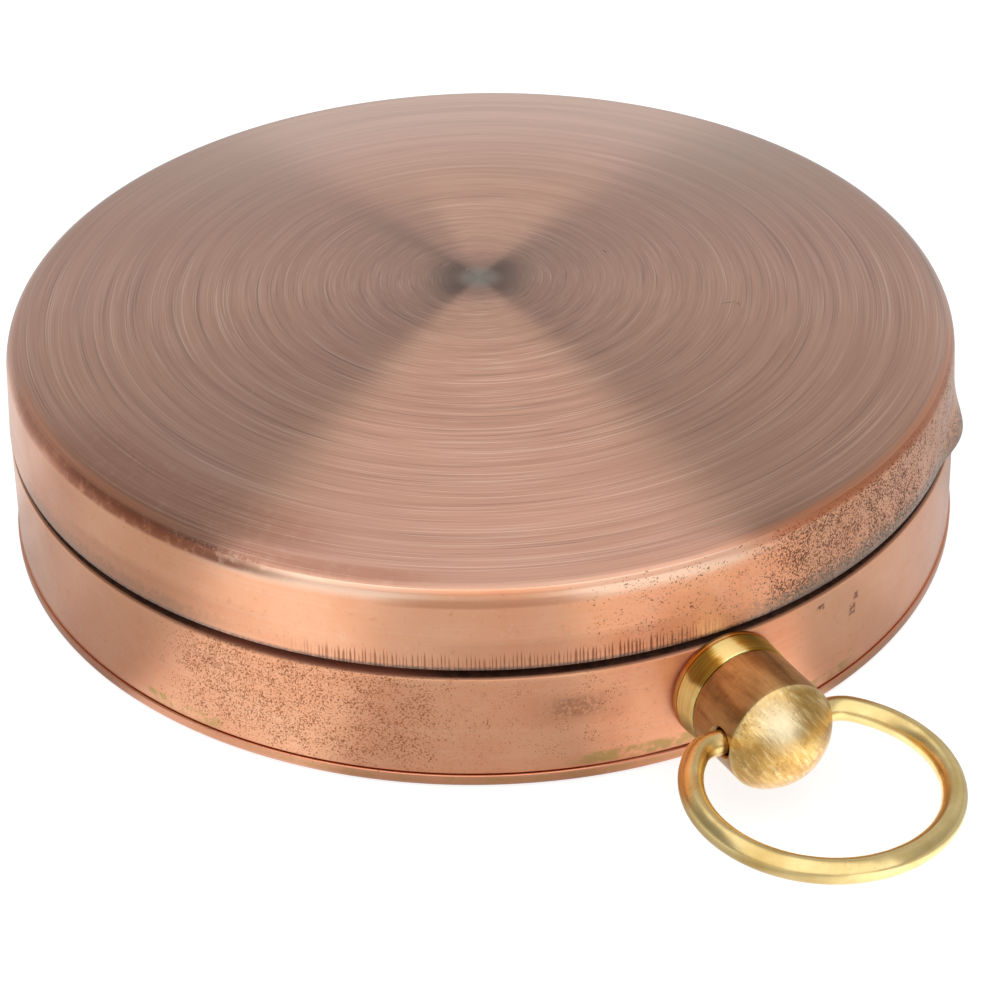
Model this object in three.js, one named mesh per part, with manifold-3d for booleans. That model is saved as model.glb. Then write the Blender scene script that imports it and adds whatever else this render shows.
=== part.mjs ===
// Pocket compass in a round lidded case, closed, with a bow ring on its stem.
// Millimetres, +Z up. The underside lies at z = 0, the case's axis is Z and the stem points along -Y.
import * as THREE from "three";
import { mergeVertices } from "three/addons/utils/BufferGeometryUtils.js";
import Module from "manifold-3d";

const wasm = await Module();
wasm.setup();

// Facet counts
const caseFacets = 64;
const capsuleFacets = 48;
const barrelFacets = 24;
const smallFacets = 16;
const bezelFacets = 48;
const wireHalfFacets = 8;
const wireSteps = 60;
const cornerSteps = 4;
const domeSteps = 5;
const skirtSteps = 4;

// Case band and back cover
const caseRadius = 25.25;
const caseDraft = 0.17;
const caseWall = 0.8;
const bandHeight = 5.65;
const bandCorner = 0.22;
const bandLip = 0.7;
const coverFloor = 0.69;
const coverProud = 0.1;
const coverCorner = 0.3;
const coverFlangeWall = 0.5;
const coverFlangeHeight = 0.95;
const partingGap = 0.08;

// Lid
const lidDraft = 0.25;
const lidWall = 0.75;
const lidHeight = 5.05;
const lidCorner = 1.5;
const lidDomeRise = 1.3;
const lidEdgeCorner = 0.16;
const seamGap = 0.43;

// Thumb tab, a bulge pressed out of the lid's edge
const tabReach = 0.55;
const tabRise = 1.7;
const tabAzimuth = -40.7;
const tabHalfAngle = 8.5;
const tabCrowdShare = 0.55;

// Capsule: bezel, crystal and what lies under it
const nutRoom = 1.05;
const neckGap = 0.25;
const bezelNeckHeight = 2.2;
const bezelSkirtWall = 0.5;
const bezelLipReach = 1;
const bezelLip = 0.55;
const bezelCorner = 0.35;
const bezelBead = 0.12;
const bezelBeadHalf = 0.3;
const crystalThickness = 0.9;
const crystalBevel = 0.2;
const gasketThickness = 0.3;
const needleRoom = 2.45;
const degreeRingWidth = 2.65;
const degreeRingFoot = 0.45;
const cardThickness = 0.2;
const dialThickness = 0.6;
const panThickness = 0.8;
const panRim = 1.6;
const panRecess = 0.35;
const fitGap = 0.1;
const slipGap = 0.05;

// Pivot
const bossRadius = 1.7;
const bossHeight = 0.75;
const bossNeck = 0.62;
const bossShank = 0.9;
const rivetRadius = 1.5;
const rivetHeight = 0.3;
const pinRadius = 0.24;
const pinDepth = 1.4;
const pinTaper = 0.7;
const pinTipRadius = 0.04;
const tipDrop = 0.95;

// Needle
const needleTipRoom = 1.6;
const needleHalfWidth = 2.1;
const needleThickness = 0.25;
const needleHub = 2.2;
const capSleeve = 0.85;
const capFlange = 1.5;
const capFlangeHeight = 0.22;
const capCrown = 0.62;
const capRoof = 0.22;
const jewelRadius = 0.55;
const jewelHeight = 0.6;
const jewelCup = 0.36;
const jewelCupDepth = 0.34;
const needleHang = 0.2;

// Hinge
const hingeAzimuth = 90;
const hingeLength = 10;
const hingeMiddle = 3.8;
const barrelRadius = 1;
const barrelSetOff = 0.3;
const hingePinRadius = 0.45;
const hingePinEnd = 0.35;
const hingePinGap = 0.07;
const leafThickness = 0.55;
const leafHeight = 2.5;
const leafCorner = 0.9;
const leafGap = 0.06;
const knuckleGap = 0.3;

// Stem
const stemHeightShare = 0.535;
const stemRise = 4;
const stemTurn = 3.8;
const stemRadius = 2.8;
const stemLength = 3.3;
const stemDome = 1.69;
const shankRadius = 1.2;
const collarRadius = 2.9;
const collarFrontRadius = 2.82;
const collarRim = 0.24;
const collarLength = 1.62;
const nutRadius = 1.7;
const nutThickness = 0.5;
const nutSeat = 0.22;
const shankGap = 0.08;

// Bow ring, an open ring of wire whose two ends turn into the stem's cross-hole
const bowRadius = 6.1;
const bowOvalShare = 0.93;
const bowDroop = 1.2;
const bowWire = 0.6;
const bowReach = 4.8;
const bowElbow = 1.6;
const bowEndSpace = 2.2;
const bowSetBack = 0.92;
const bowHoleGap = 0.09;

// Heights and radii that follow from the sizes above
const overrun = caseRadius;
const lidEdgeRadius = caseRadius;
const lidShoulderRadius = lidEdgeRadius - lidDraft;
const bezelNeckRadius = lidShoulderRadius - lidWall - neckGap;
const bezelSkirt = caseRadius - caseWall - nutRoom;
const bezelBore = bezelSkirt - bezelSkirtWall;
const bezelOpening = bezelBore - bezelLipReach;
const capsuleRadius = bezelBore - slipGap;
const degreeRingInner = capsuleRadius - degreeRingWidth;
const needleReach = degreeRingInner - needleTipRoom;
const bandFoot = coverFloor + partingGap;
const bandTop = bandFoot + bandHeight;
const bandFootRadius = caseRadius + caseDraft;
const bandBore = caseRadius - caseWall;
const lidEdge = bandTop + seamGap;
const lidShoulder = lidEdge + lidHeight;
const bezelTop = bandTop + bezelNeckHeight;
const crystalTop = bezelTop - bezelLip;
const gasketTop = crystalTop - crystalThickness;
const degreeRingTop = gasketTop - gasketThickness;
const cardTop = degreeRingTop - needleRoom;
const dialTop = cardTop - cardThickness;
const panTop = dialTop - dialThickness;
const panFoot = panTop - panThickness;
const pivotTip = gasketTop - tipDrop;
const bladeFoot = pivotTip - needleHang - needleThickness;
const hingeRadius = lidEdgeRadius + barrelSetOff + barrelRadius;
const hingeHeight = (bandTop + lidEdge) / 2;
const stemHeight = bandFoot + bandHeight * stemHeightShare;
const stemWallRadius = bandFootRadius - (caseDraft * (stemHeight - bandFoot)) / bandHeight;
const nutFace = -(stemWallRadius - bandBore + nutSeat);
const stemFoot = fitGap + collarLength + slipGap;
const bowHoleAt = stemFoot + stemLength - bowSetBack;

const radians = THREE.MathUtils.degToRad;

// Finishes
function finish(color, roughness, metalness) {
  return new THREE.MeshStandardMaterial({ color, roughness, metalness });
}
const finishes = {
  brushedCopper: () => finish(0x9d7465, 0.34, 1),
  agedCopper: () => finish(0xc88a6c, 0.38, 1),
  polishedBrass: () => finish(0xd8b862, 0.18, 1),
  bronzedBrass: () => finish(0x8f5f38, 0.26, 1),
  plainBrass: () => finish(0xb89a5a, 0.4, 1),
  steel: () => finish(0x8f959c, 0.3, 1),
  bluedSteel: () => finish(0x23345f, 0.3, 1),
  glass: () => finish(0xdfeae8, 0.05, 0),
  jewel: () => finish(0x8a2f3a, 0.12, 0),
  rubber: () => finish(0x1d1b1a, 0.7, 0),
  card: () => finish(0xe9e2cf, 0.75, 0),
};

// Profile corners and arcs, as radius and height
function at(radius, height) {
  return new THREE.Vector2(radius, height);
}
function arc(centreRadius, centreHeight, radius, fromDegrees, toDegrees, steps) {
  return Array.from({ length: steps + 1 }, (unused, i) => {
    const angle = radians(fromDegrees + ((toDegrees - fromDegrees) * i) / steps);
    return at(centreRadius + radius * Math.cos(angle), centreHeight + radius * Math.sin(angle));
  });
}

// A body turned about Z from its profile, which runs anticlockwise with the radius to the right
function turned(profile, facets) {
  const onAxis = profile[0].x === 0;
  const outline = onAxis ? profile : [...profile, profile[0]];
  return new THREE.LatheGeometry(outline, facets).rotateX(Math.PI / 2);
}

// Conversion to a solid for joining and cutting, and back
function solidOf(geometry) {
  const bare = geometry.index ? geometry.toNonIndexed() : geometry.clone();
  bare.deleteAttribute("normal");
  bare.deleteAttribute("uv");
  const merged = mergeVertices(bare);
  const vertProperties = merged.attributes.position.array;
  const triVerts = new Uint32Array(merged.index.array);
  return new wasm.Manifold(new wasm.Mesh({ numProp: 3, vertProperties, triVerts }));
}
function geometryOf(solid) {
  const mesh = solid.getMesh();
  const geometry = new THREE.BufferGeometry();
  geometry.setAttribute("position", new THREE.BufferAttribute(mesh.vertProperties, mesh.numProp));
  geometry.setIndex(new THREE.BufferAttribute(mesh.triVerts, 1));
  const flat = geometry.toNonIndexed();
  flat.computeVertexNormals();
  return flat;
}

// A named piece
function piece(name, geometry, material) {
  const mesh = new THREE.Mesh(geometry, material());
  mesh.name = name;
  return mesh;
}

// A round bar along an axis, centred on the origin
function barAlongX(radius, length, facets) {
  return new THREE.CylinderGeometry(radius, radius, length, facets).rotateZ(Math.PI / 2);
}
function barAlongZ(radius, length, facets) {
  return new THREE.CylinderGeometry(radius, radius, length, facets).rotateX(Math.PI / 2);
}

// The frame of the stem: its own +Z runs outward along the stem from the case's wall.
// The turn about it is where the screwed-in post comes to a stop.
function stemFrame() {
  const frame = new THREE.Group();
  frame.position.set(0, -stemWallRadius, stemHeight);
  frame.rotateX(Math.PI / 2 - radians(stemRise));
  frame.rotateZ(-radians(stemTurn));
  frame.updateMatrix();
  return frame;
}

// Case band: a drafted ring with an inward lip, bored for the stem's shank
function caseBand() {
  const profile = [
    at(bandBore, bandFoot),
    at(bandFootRadius, bandFoot),
    ...arc(caseRadius - bandCorner, bandTop - bandCorner, bandCorner, 0, 90, cornerSteps),
    at(bezelSkirt + fitGap, bandTop),
    at(bezelSkirt + fitGap, bandTop - bandLip),
    at(bandBore, bandTop - bandLip),
  ];
  const bore = barAlongZ(shankRadius + shankGap, caseWall * 4, barrelFacets);
  bore.applyMatrix4(stemFrame().matrix);
  const ring = solidOf(turned(profile, caseFacets));
  return piece("case_band", geometryOf(ring.subtract(solidOf(bore))), finishes.agedCopper);
}

// Back cover: a snap-on dish whose flange goes up inside the band
function backCover() {
  const rimRadius = bandFootRadius + coverProud;
  const flangeRadius = bandBore - fitGap;
  const flangeTop = coverFloor + coverFlangeHeight;
  const profile = [
    at(0, 0),
    ...arc(rimRadius - coverCorner, coverCorner, coverCorner, -90, 0, cornerSteps),
    at(rimRadius, coverFloor),
    at(flangeRadius, coverFloor),
    at(flangeRadius, flangeTop),
    at(flangeRadius - coverFlangeWall, flangeTop),
    at(flangeRadius - coverFlangeWall, coverFloor),
    at(0, coverFloor),
  ];
  return piece("back_cover", turned(profile, caseFacets), finishes.agedCopper);
}

// Bezel: the neck that the lid closes over, with the crystal under its lip
function bezel() {
  const beadAt = bandTop + bezelNeckHeight / 2;
  const profile = [
    at(bezelBore, panFoot),
    at(bezelSkirt, panFoot),
    at(bezelSkirt, bandTop),
    at(bezelNeckRadius, bandTop),
    at(bezelNeckRadius, beadAt - bezelBeadHalf),
    at(bezelNeckRadius + bezelBead, beadAt),
    at(bezelNeckRadius, beadAt + bezelBeadHalf),
    ...arc(bezelNeckRadius - bezelCorner, bezelTop - bezelCorner, bezelCorner, 0, 90, cornerSteps),
    at(bezelOpening, bezelTop),
    at(bezelOpening, crystalTop),
    at(bezelBore, crystalTop),
  ];
  return piece("bezel", turned(profile, bezelFacets), finishes.agedCopper);
}

function crystal() {
  const profile = [
    at(0, gasketTop),
    at(capsuleRadius, gasketTop),
    at(capsuleRadius, crystalTop - crystalBevel),
    at(capsuleRadius - crystalBevel, crystalTop),
    at(0, crystalTop),
  ];
  return piece("crystal", turned(profile, capsuleFacets), finishes.glass);
}

// A flat ring or a disc with a hole
function washer(name, innerRadius, outerRadius, foot, top, material) {
  const profile = [
    at(innerRadius, foot),
    at(outerRadius, foot),
    at(outerRadius, top),
    at(innerRadius, top),
  ];
  return piece(name, turned(profile, capsuleFacets), material);
}

// Degree ring: slopes from the crystal's edge down to the dial
function degreeRing() {
  const profile = [
    at(degreeRingInner, cardTop),
    at(capsuleRadius, cardTop),
    at(capsuleRadius, degreeRingTop),
    at(bezelOpening, degreeRingTop),
    at(degreeRingInner, cardTop + degreeRingFoot),
  ];
  return piece("degree_ring", turned(profile, capsuleFacets), finishes.card);
}

// Capsule pan: closes the bezel from below, recessed inside its rim
function capsulePan() {
  const profile = [
    at(bossShank + slipGap, panFoot + panRecess),
    at(capsuleRadius - panRim, panFoot + panRecess),
    at(capsuleRadius - panRim, panFoot),
    at(capsuleRadius, panFoot),
    at(capsuleRadius, panTop),
    at(bossShank + slipGap, panTop),
  ];
  return piece("capsule_pan", turned(profile, capsuleFacets), finishes.plainBrass);
}

// Pivot boss, riveted through the dial and the pan, with a blind hole for the pivot pin
function pivotBoss() {
  const rivetTop = panFoot + panRecess;
  const pinFoot = cardTop + bossHeight - pinDepth;
  const profile = [
    at(0, rivetTop - rivetHeight),
    at(rivetRadius, rivetTop - rivetHeight),
    at(rivetRadius, rivetTop),
    at(bossShank, rivetTop),
    at(bossShank, cardTop),
    at(bossRadius, cardTop),
    at(bossNeck, cardTop + bossHeight),
    at(pinRadius + slipGap, cardTop + bossHeight),
    at(pinRadius + slipGap, pinFoot),
    at(0, pinFoot),
  ];
  return piece("pivot_boss", turned(profile, smallFacets), finishes.plainBrass);
}

function pivotPin() {
  const pinFoot = cardTop + bossHeight - pinDepth;
  const profile = [
    at(0, pinFoot),
    at(pinRadius, pinFoot),
    at(pinRadius, pivotTip - pinTaper),
    at(pinTipRadius, pivotTip),
    at(0, pivotTip),
  ];
  return piece("pivot_pin", turned(profile, smallFacets), finishes.steel);
}

// Needle blade: a lozenge with a round hub, north end towards the stem
function needleBlade() {
  const lozenge = new THREE.Shape([
    at(0, -needleReach),
    at(needleHalfWidth, 0),
    at(0, needleReach),
    at(-needleHalfWidth, 0),
  ]);
  const arms = new THREE.ExtrudeGeometry(lozenge, { depth: needleThickness, bevelEnabled: false });
  const hub = barAlongZ(needleHub, needleThickness, barrelFacets);
  hub.translate(0, 0, needleThickness / 2);
  const hole = barAlongZ(capSleeve + slipGap, needleThickness * 3, smallFacets);
  const blade = solidOf(arms).add(solidOf(hub)).subtract(solidOf(hole));
  const mesh = piece("needle_blade", geometryOf(blade), finishes.bluedSteel);
  mesh.position.z = bladeFoot;
  return mesh;
}

// Needle cap: a sleeve through the blade, a flange on it, and a crown over the jewel
function needleCap() {
  const bladeTop = bladeFoot + needleThickness;
  const jewelFoot = pivotTip - jewelCupDepth + slipGap;
  const roof = jewelFoot + jewelHeight + slipGap;
  const bore = jewelRadius + slipGap;
  const profile = [
    at(bore, bladeFoot),
    at(capSleeve, bladeFoot),
    at(capSleeve, bladeTop),
    at(capFlange, bladeTop),
    at(capFlange, bladeTop + capFlangeHeight),
    at(capSleeve, bladeTop + capFlangeHeight),
    at(capCrown, roof + capRoof),
    at(0, roof + capRoof),
    at(0, roof),
    at(bore, roof),
  ];
  const fromAxis = [...profile.slice(8), ...profile.slice(0, 8)];
  return piece("needle_cap", turned(fromAxis, smallFacets), finishes.plainBrass);
}

// Jewel: the cupped bearing that rides on the pin's point
function needleJewel() {
  const foot = pivotTip - jewelCupDepth + slipGap;
  const profile = [
    at(0, foot + jewelCupDepth),
    at(jewelCup, foot),
    at(jewelRadius, foot),
    at(jewelRadius, foot + jewelHeight),
    at(0, foot + jewelHeight),
  ];
  return piece("needle_jewel", turned(profile, smallFacets), finishes.jewel);
}

// The lid's turned profile, outside from the crown to the edge and back up inside
function lidProfile() {
  const draft = (lidEdgeRadius - lidShoulderRadius) / (lidHeight - lidCorner);
  const cornerCentre = lidShoulderRadius - lidCorner;
  const slope = 2 * Math.atan(lidDomeRise / lidShoulderRadius);
  const outerCorner = arc(
    cornerCentre,
    lidShoulder - lidCorner,
    lidCorner,
    90 - THREE.MathUtils.radToDeg(slope),
    0,
    cornerSteps,
  );
  const innerCorner = arc(
    cornerCentre,
    lidShoulder - lidCorner,
    lidCorner - lidWall,
    0,
    90 - THREE.MathUtils.radToDeg(slope),
    cornerSteps - 1,
  );
  const domeRadius = outerCorner[0].x / Math.sin(slope);
  const crown = outerCorner[0].y + domeRadius * (1 - Math.cos(slope));
  const dome = (radius, steps) =>
    Array.from({ length: steps }, (unused, i) => {
      const angle = (slope * i) / steps;
      return at(radius * Math.sin(angle), crown - domeRadius + radius * Math.cos(angle));
    });
  const skirt = (offset) =>
    Array.from({ length: skirtSteps }, (unused, i) => {
      const height = lidEdge + tabRise - (tabRise * i) / skirtSteps;
      const radius = lidShoulderRadius + draft * (lidShoulder - lidCorner - height);
      return at(radius - offset, height);
    });
  return [
    ...dome(domeRadius, domeSteps),
    ...outerCorner,
    ...skirt(0),
    at(lidEdgeRadius, lidEdge + lidEdgeCorner),
    at(lidEdgeRadius - lidEdgeCorner, lidEdge),
    at(lidEdgeRadius - lidWall, lidEdge),
    ...skirt(lidWall).reverse(),
    ...innerCorner,
    ...dome(domeRadius - lidWall, domeSteps - 1).reverse(),
  ].reverse();
}

// How far the thumb tab stands out, from 0 to 1, by angle from its middle and by height
function tabShare(degreesAway, height) {
  const across = Math.max(0, 1 - (degreesAway / tabHalfAngle) ** 2);
  const up = Math.min(Math.max((height - lidEdge) / tabRise, 0), 1);
  return across ** 2 * Math.cos((up * Math.PI) / 2) ** 2;
}

// Lid: a spun shell with a low dome and a drafted skirt, its facets crowded towards the tab
function lidShell() {
  const geometry = turned(lidProfile(), caseFacets);
  const position = geometry.attributes.position;
  for (let i = 0; i < position.count; i += 1) {
    const radius = Math.hypot(position.getX(i), position.getY(i));
    const even = Math.atan2(position.getY(i), position.getX(i)) - radians(tabAzimuth);
    const away = Math.atan2(Math.sin(even), Math.cos(even));
    const crowded = away - tabCrowdShare * Math.sin(away);
    const reach = tabReach * tabShare(THREE.MathUtils.radToDeg(Math.abs(crowded)), position.getZ(i));
    const onSkirt = radius > lidShoulderRadius - lidCorner ? reach : 0;
    const angle = crowded + radians(tabAzimuth);
    position.setX(i, (radius + onSkirt) * Math.cos(angle));
    position.setY(i, (radius + onSkirt) * Math.sin(angle));
  }
  return piece("lid_shell", geometry, finishes.brushedCopper);
}

// A hinge leaf's plate, curved round the case, with two rounded far corners.
// up is 1 for the lid's leaf and -1 for the case's.
function leafPlate(innerRadius, up) {
  const near = hingeHeight + up * (barrelRadius + barrelSetOff);
  const far = near + up * leafHeight;
  const low = Math.min(near, far);
  const ring = turned(
    [
      at(innerRadius, low - leafHeight),
      at(innerRadius + leafThickness, low - leafHeight),
      at(innerRadius + leafThickness, low + leafHeight * 2),
      at(innerRadius, low + leafHeight * 2),
    ],
    caseFacets,
  ).rotateZ(Math.PI / 2 - radians(hingeAzimuth));
  const half = hingeLength / 2;
  const outline = new THREE.Shape();
  outline.moveTo(-half, near * up);
  outline.lineTo(half, near * up);
  outline.lineTo(half, far * up - leafCorner);
  outline.absarc(half - leafCorner, far * up - leafCorner, leafCorner, 0, Math.PI / 2, false);
  outline.lineTo(leafCorner - half, far * up);
  outline.absarc(leafCorner - half, far * up - leafCorner, leafCorner, Math.PI / 2, Math.PI, false);
  outline.closePath();
  const prism = new THREE.ExtrudeGeometry(outline, {
    depth: overrun,
    bevelEnabled: false,
    curveSegments: cornerSteps,
  });
  prism.rotateX(up > 0 ? Math.PI / 2 : -Math.PI / 2);
  prism.translate(0, up > 0 ? overrun * 1.6 : overrun / 2, 0);
  return solidOf(ring).intersect(solidOf(prism));
}

// One knuckle with its web to the leaf, bored for the pin
function knuckle(innerRadius, up, from, to) {
  const length = to - from;
  const middle = (from + to) / 2;
  const barrel = barAlongX(barrelRadius, length, barrelFacets);
  barrel.translate(middle, hingeRadius, hingeHeight);
  const webHeight = barrelRadius + barrelSetOff + leafThickness;
  const web = new THREE.BoxGeometry(length, leafThickness, webHeight);
  web.translate(middle, innerRadius + leafThickness / 2, hingeHeight + (up * webHeight) / 2);
  return solidOf(barrel).add(solidOf(web));
}

// A whole leaf: plate and knuckles, with the pin's bore right through
function hingeLeaf(name, innerRadius, up, spans, boreRadius, material) {
  const bore = barAlongX(boreRadius, hingeLength * 2, smallFacets);
  bore.translate(0, hingeRadius, hingeHeight);
  const joined = spans.reduce(
    (leaf, [from, to]) => leaf.add(knuckle(innerRadius, up, from, to)),
    leafPlate(innerRadius, up),
  );
  return piece(name, geometryOf(joined.subtract(solidOf(bore))), material);
}

function hingePin() {
  const half = hingeLength / 2 + hingePinEnd;
  const profile = [
    at(0, -half),
    at(hingePinRadius / 2, -half),
    at(hingePinRadius, hingePinRadius / 2 - half),
    at(hingePinRadius, half - hingePinRadius / 2),
    at(hingePinRadius / 2, half),
    at(0, half),
  ];
  const pin = turned(profile, smallFacets).rotateY(Math.PI / 2);
  pin.translate(0, hingeRadius, hingeHeight);
  return piece("hinge_pin", pin, finishes.plainBrass);
}

function hingePieces() {
  const half = hingeLength / 2;
  const middle = hingeMiddle / 2;
  const boreRadius = hingePinRadius + hingePinGap;
  const outer = middle + knuckleGap;
  const caseLeafRadius = bandFootRadius + leafGap;
  const lidLeafRadius = lidEdgeRadius + leafGap;
  const caseSpans = [
    [-half, -outer],
    [outer, half],
  ];
  const pieces = new THREE.Group();
  pieces.rotation.z = radians(hingeAzimuth) - Math.PI / 2;
  pieces.add(
    hingeLeaf("case_hinge_leaf", caseLeafRadius, -1, caseSpans, boreRadius, finishes.agedCopper),
    hingeLeaf("lid_hinge_leaf", lidLeafRadius, 1, [[-middle, middle]], boreRadius, finishes.agedCopper),
    hingePin(),
  );
  return pieces;
}

// Collar: a rim against the case and a bright cone, bored for the shank
function stemCollar() {
  const bore = shankRadius + shankGap;
  const front = fitGap + collarLength;
  const profile = [
    at(bore, fitGap),
    at(collarRadius, fitGap),
    at(collarRadius, fitGap + collarRim),
    at(collarFrontRadius, front),
    at(bore, front),
  ];
  return piece("stem_collar", turned(profile, barrelFacets * 2), finishes.polishedBrass);
}

// Post: shank, cylinder and domed head in one, cross-bored for the bow
function stemPost() {
  const shankEnd = nutFace - nutThickness - fitGap;
  const edge = stemFoot + stemLength;
  const domeRadius = (stemRadius ** 2 + stemDome ** 2) / (2 * stemDome);
  const domeCentre = edge + stemDome - domeRadius;
  const edgeAngle = THREE.MathUtils.radToDeg(Math.asin((edge - domeCentre) / domeRadius));
  const profile = [
    at(0, shankEnd),
    at(shankRadius, shankEnd),
    at(shankRadius, stemFoot),
    at(stemRadius, stemFoot),
    ...arc(0, domeCentre, domeRadius, edgeAngle, 90, domeSteps).slice(0, -1),
    at(0, edge + stemDome),
  ];
  const hole = barAlongX(bowWire + bowHoleGap, stemRadius * 4, smallFacets);
  hole.translate(0, 0, bowHoleAt);
  const post = solidOf(turned(profile, barrelFacets * 2)).subtract(solidOf(hole));
  return piece("stem_post", geometryOf(post), finishes.bronzedBrass);
}

// Six-sided nut on the shank's end, inside the band
function stemNut() {
  const nut = new THREE.CylinderGeometry(nutRadius, nutRadius, nutThickness, 6).rotateX(Math.PI / 2);
  const bore = barAlongZ(shankRadius + slipGap, nutThickness * 3, barrelFacets);
  const mesh = piece("stem_nut", geometryOf(solidOf(nut).subtract(solidOf(bore))), finishes.plainBrass);
  mesh.position.z = nutFace - nutThickness / 2;
  return mesh;
}

function stemPieces() {
  const frame = stemFrame();
  frame.add(stemCollar(), stemPost(), stemNut(), bowRing());
  return frame;
}

// Bow ring, held level, with its hinge line along the stem's cross-hole
function bowRing() {
  const elbowAcross = Math.sqrt((bowRadius - bowElbow) ** 2 - (bowReach - bowElbow) ** 2);
  const meetAngle = Math.atan2(bowElbow - bowReach, elbowAcross);
  const outline = new THREE.Path();
  outline.moveTo(-bowEndSpace / 2, 0);
  outline.lineTo(-elbowAcross, 0);
  outline.absarc(-elbowAcross, bowElbow, bowElbow, -Math.PI / 2, Math.PI - meetAngle - 2 * Math.PI, true);
  outline.absarc(0, bowReach, bowRadius, Math.PI - meetAngle, meetAngle, true);
  outline.absarc(elbowAcross, bowElbow, bowElbow, meetAngle, -Math.PI / 2, true);
  outline.lineTo(bowEndSpace / 2, 0);
  const points = outline.getSpacedPoints(wireSteps);
  const route = points.map((p) => new THREE.Vector3(p.x, 0, p.y * bowOvalShare));
  const section = new THREE.Shape().absarc(0, 0, bowWire, 0, 2 * Math.PI, false);
  const wire = new THREE.ExtrudeGeometry(section, {
    extrudePath: new THREE.CatmullRomCurve3(route),
    steps: wireSteps,
    curveSegments: wireHalfFacets,
  });
  const mesh = piece("bow_ring", wire, finishes.polishedBrass);
  mesh.position.z = bowHoleAt;
  mesh.rotation.x = radians(stemRise + bowDroop);
  return mesh;
}

const holeRadius = bossShank + slipGap;
const compass = new THREE.Group();
compass.add(
  caseBand(),
  backCover(),
  bezel(),
  crystal(),
  washer("crystal_gasket", bezelOpening, capsuleRadius, degreeRingTop, gasketTop, finishes.rubber),
  degreeRing(),
  washer("dial_card", holeRadius, capsuleRadius, dialTop, cardTop, finishes.card),
  washer("dial_plate", holeRadius, capsuleRadius, panTop, dialTop, finishes.plainBrass),
  capsulePan(),
  pivotBoss(),
  pivotPin(),
  needleBlade(),
  needleCap(),
  needleJewel(),
  lidShell(),
  hingePieces(),
  stemPieces(),
);

export default compass;
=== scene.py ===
import math
import bmesh
import bpy
from mathutils import Matrix, Vector


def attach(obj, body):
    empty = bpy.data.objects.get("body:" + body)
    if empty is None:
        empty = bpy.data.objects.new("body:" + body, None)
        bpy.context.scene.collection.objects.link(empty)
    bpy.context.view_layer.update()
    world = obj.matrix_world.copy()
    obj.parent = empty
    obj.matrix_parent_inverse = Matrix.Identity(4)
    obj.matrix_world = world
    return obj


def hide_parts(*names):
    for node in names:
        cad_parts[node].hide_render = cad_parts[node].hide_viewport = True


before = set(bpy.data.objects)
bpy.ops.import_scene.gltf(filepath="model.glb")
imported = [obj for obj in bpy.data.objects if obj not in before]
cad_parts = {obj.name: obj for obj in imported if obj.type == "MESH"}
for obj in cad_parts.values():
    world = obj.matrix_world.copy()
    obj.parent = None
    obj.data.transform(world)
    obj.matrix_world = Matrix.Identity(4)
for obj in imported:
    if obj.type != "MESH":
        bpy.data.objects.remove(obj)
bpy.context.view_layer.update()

# Sizes in millimetres, the same as the solids they dress
MM = 0.001
CASE_RADIUS = 25.25
CASE_FOOT_RADIUS = 25.42
CASE_BORE = 24.45
BAND_FOOT = 0.77
BAND_TOP = 6.42
BAND_LEDGE = 0.7
COVER_RADIUS = 25.52
COVER_TOP = 0.69
COVER_WALL = 0.5
COVER_WALL_TOP = 1.64
LID_EDGE = 6.85
LID_SHOULDER = 11.9
LID_SHOULDER_RADIUS = 25.0
LID_CORNER = 1.5
LID_WALL = 0.75
LID_DOME = 1.3
BRUSHED_FROM = 33.0
TAB_AZIMUTH = -40.7
TAB_HALF_ANGLE = 8.5
TAB_REACH = 0.55
TAB_RISE = 1.7
BEZEL_SKIRT = 23.4
BEZEL_NECK = 24.0
BEZEL_BORE = 22.9
BEZEL_OPENING = 21.9
BEZEL_FOOT = 2.82
BEZEL_TOP = 8.62
CRYSTAL_FOOT = 7.17
CRYSTAL_TOP = 8.07
CARD_TOP = 4.42
CAPSULE_RADIUS = 22.85
DEGREE_RING_INNER = 20.2
DEGREE_RING_FOOT = 4.87
DEGREE_RING_TOP = 6.87
STEM_WALL = 25.32905
STEM_HEIGHT = 3.79275
STEM_RISE = 4.0
STEM_TURN = 3.8
STEM_FOOT = 1.77
STEM_RADIUS = 2.8
STEM_LENGTH = 3.3
STEM_DOME = 1.69
SHANK_RADIUS = 1.2
SHANK_END = -1.8
COLLAR_RADIUS = 2.9
COLLAR_FRONT = 2.82
COLLAR_BACK_GAP = 0.1
COLLAR_RIM = 0.24
COLLAR_LENGTH = 1.62
BOW_HOLE_AT = 4.15
BOW_HOLE_RADIUS = 0.69
BOW_RADIUS = 6.1
BOW_OVAL = 0.93
BOW_DROOP = 1.2
BOW_WIRE = 0.6
BOW_REACH = 4.8
BOW_ELBOW = 1.6
BOW_END_SPACE = 2.2

# Sizes found only here: small roundings, the collar's groove with its lip and the foot of its cone, the play between
# pieces, the bezel's bead, the mouths of the cross-hole and the print of the dial
LID_EDGE_ROUND = 0.16
BAND_FOOT_ROUND = 0.04
BAND_TOP_ROUND = 0.22
COVER_FOOT_ROUND = 0.3
COVER_TOP_ROUND = 0.06
COVER_TOP_DROP = 0.04
BEZEL_OUTER_ROUND = 0.35
BEZEL_INNER_ROUND = 0.2
CRYSTAL_CHAMFER = 0.2
BEAD_HALF = 0.3
BEAD_RELIEF = 0.12
COLLAR_BACK_ROUND = 0.05
COLLAR_RIM_ROUND = 0.06
COLLAR_FRONT_ROUND = 0.04
GROOVE_IN, GROOVE_ROUND = 0.1, 0.03
LIP_IN, LIP_UP, LIP_ROUND = 0.06, 0.09, 0.05
CONE_IN, CONE_UP = 0.012, 0.14
COLLAR_PLAY, BEZEL_PLAY, COVER_PLAY = 0.08, 0.1, 0.1
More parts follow.
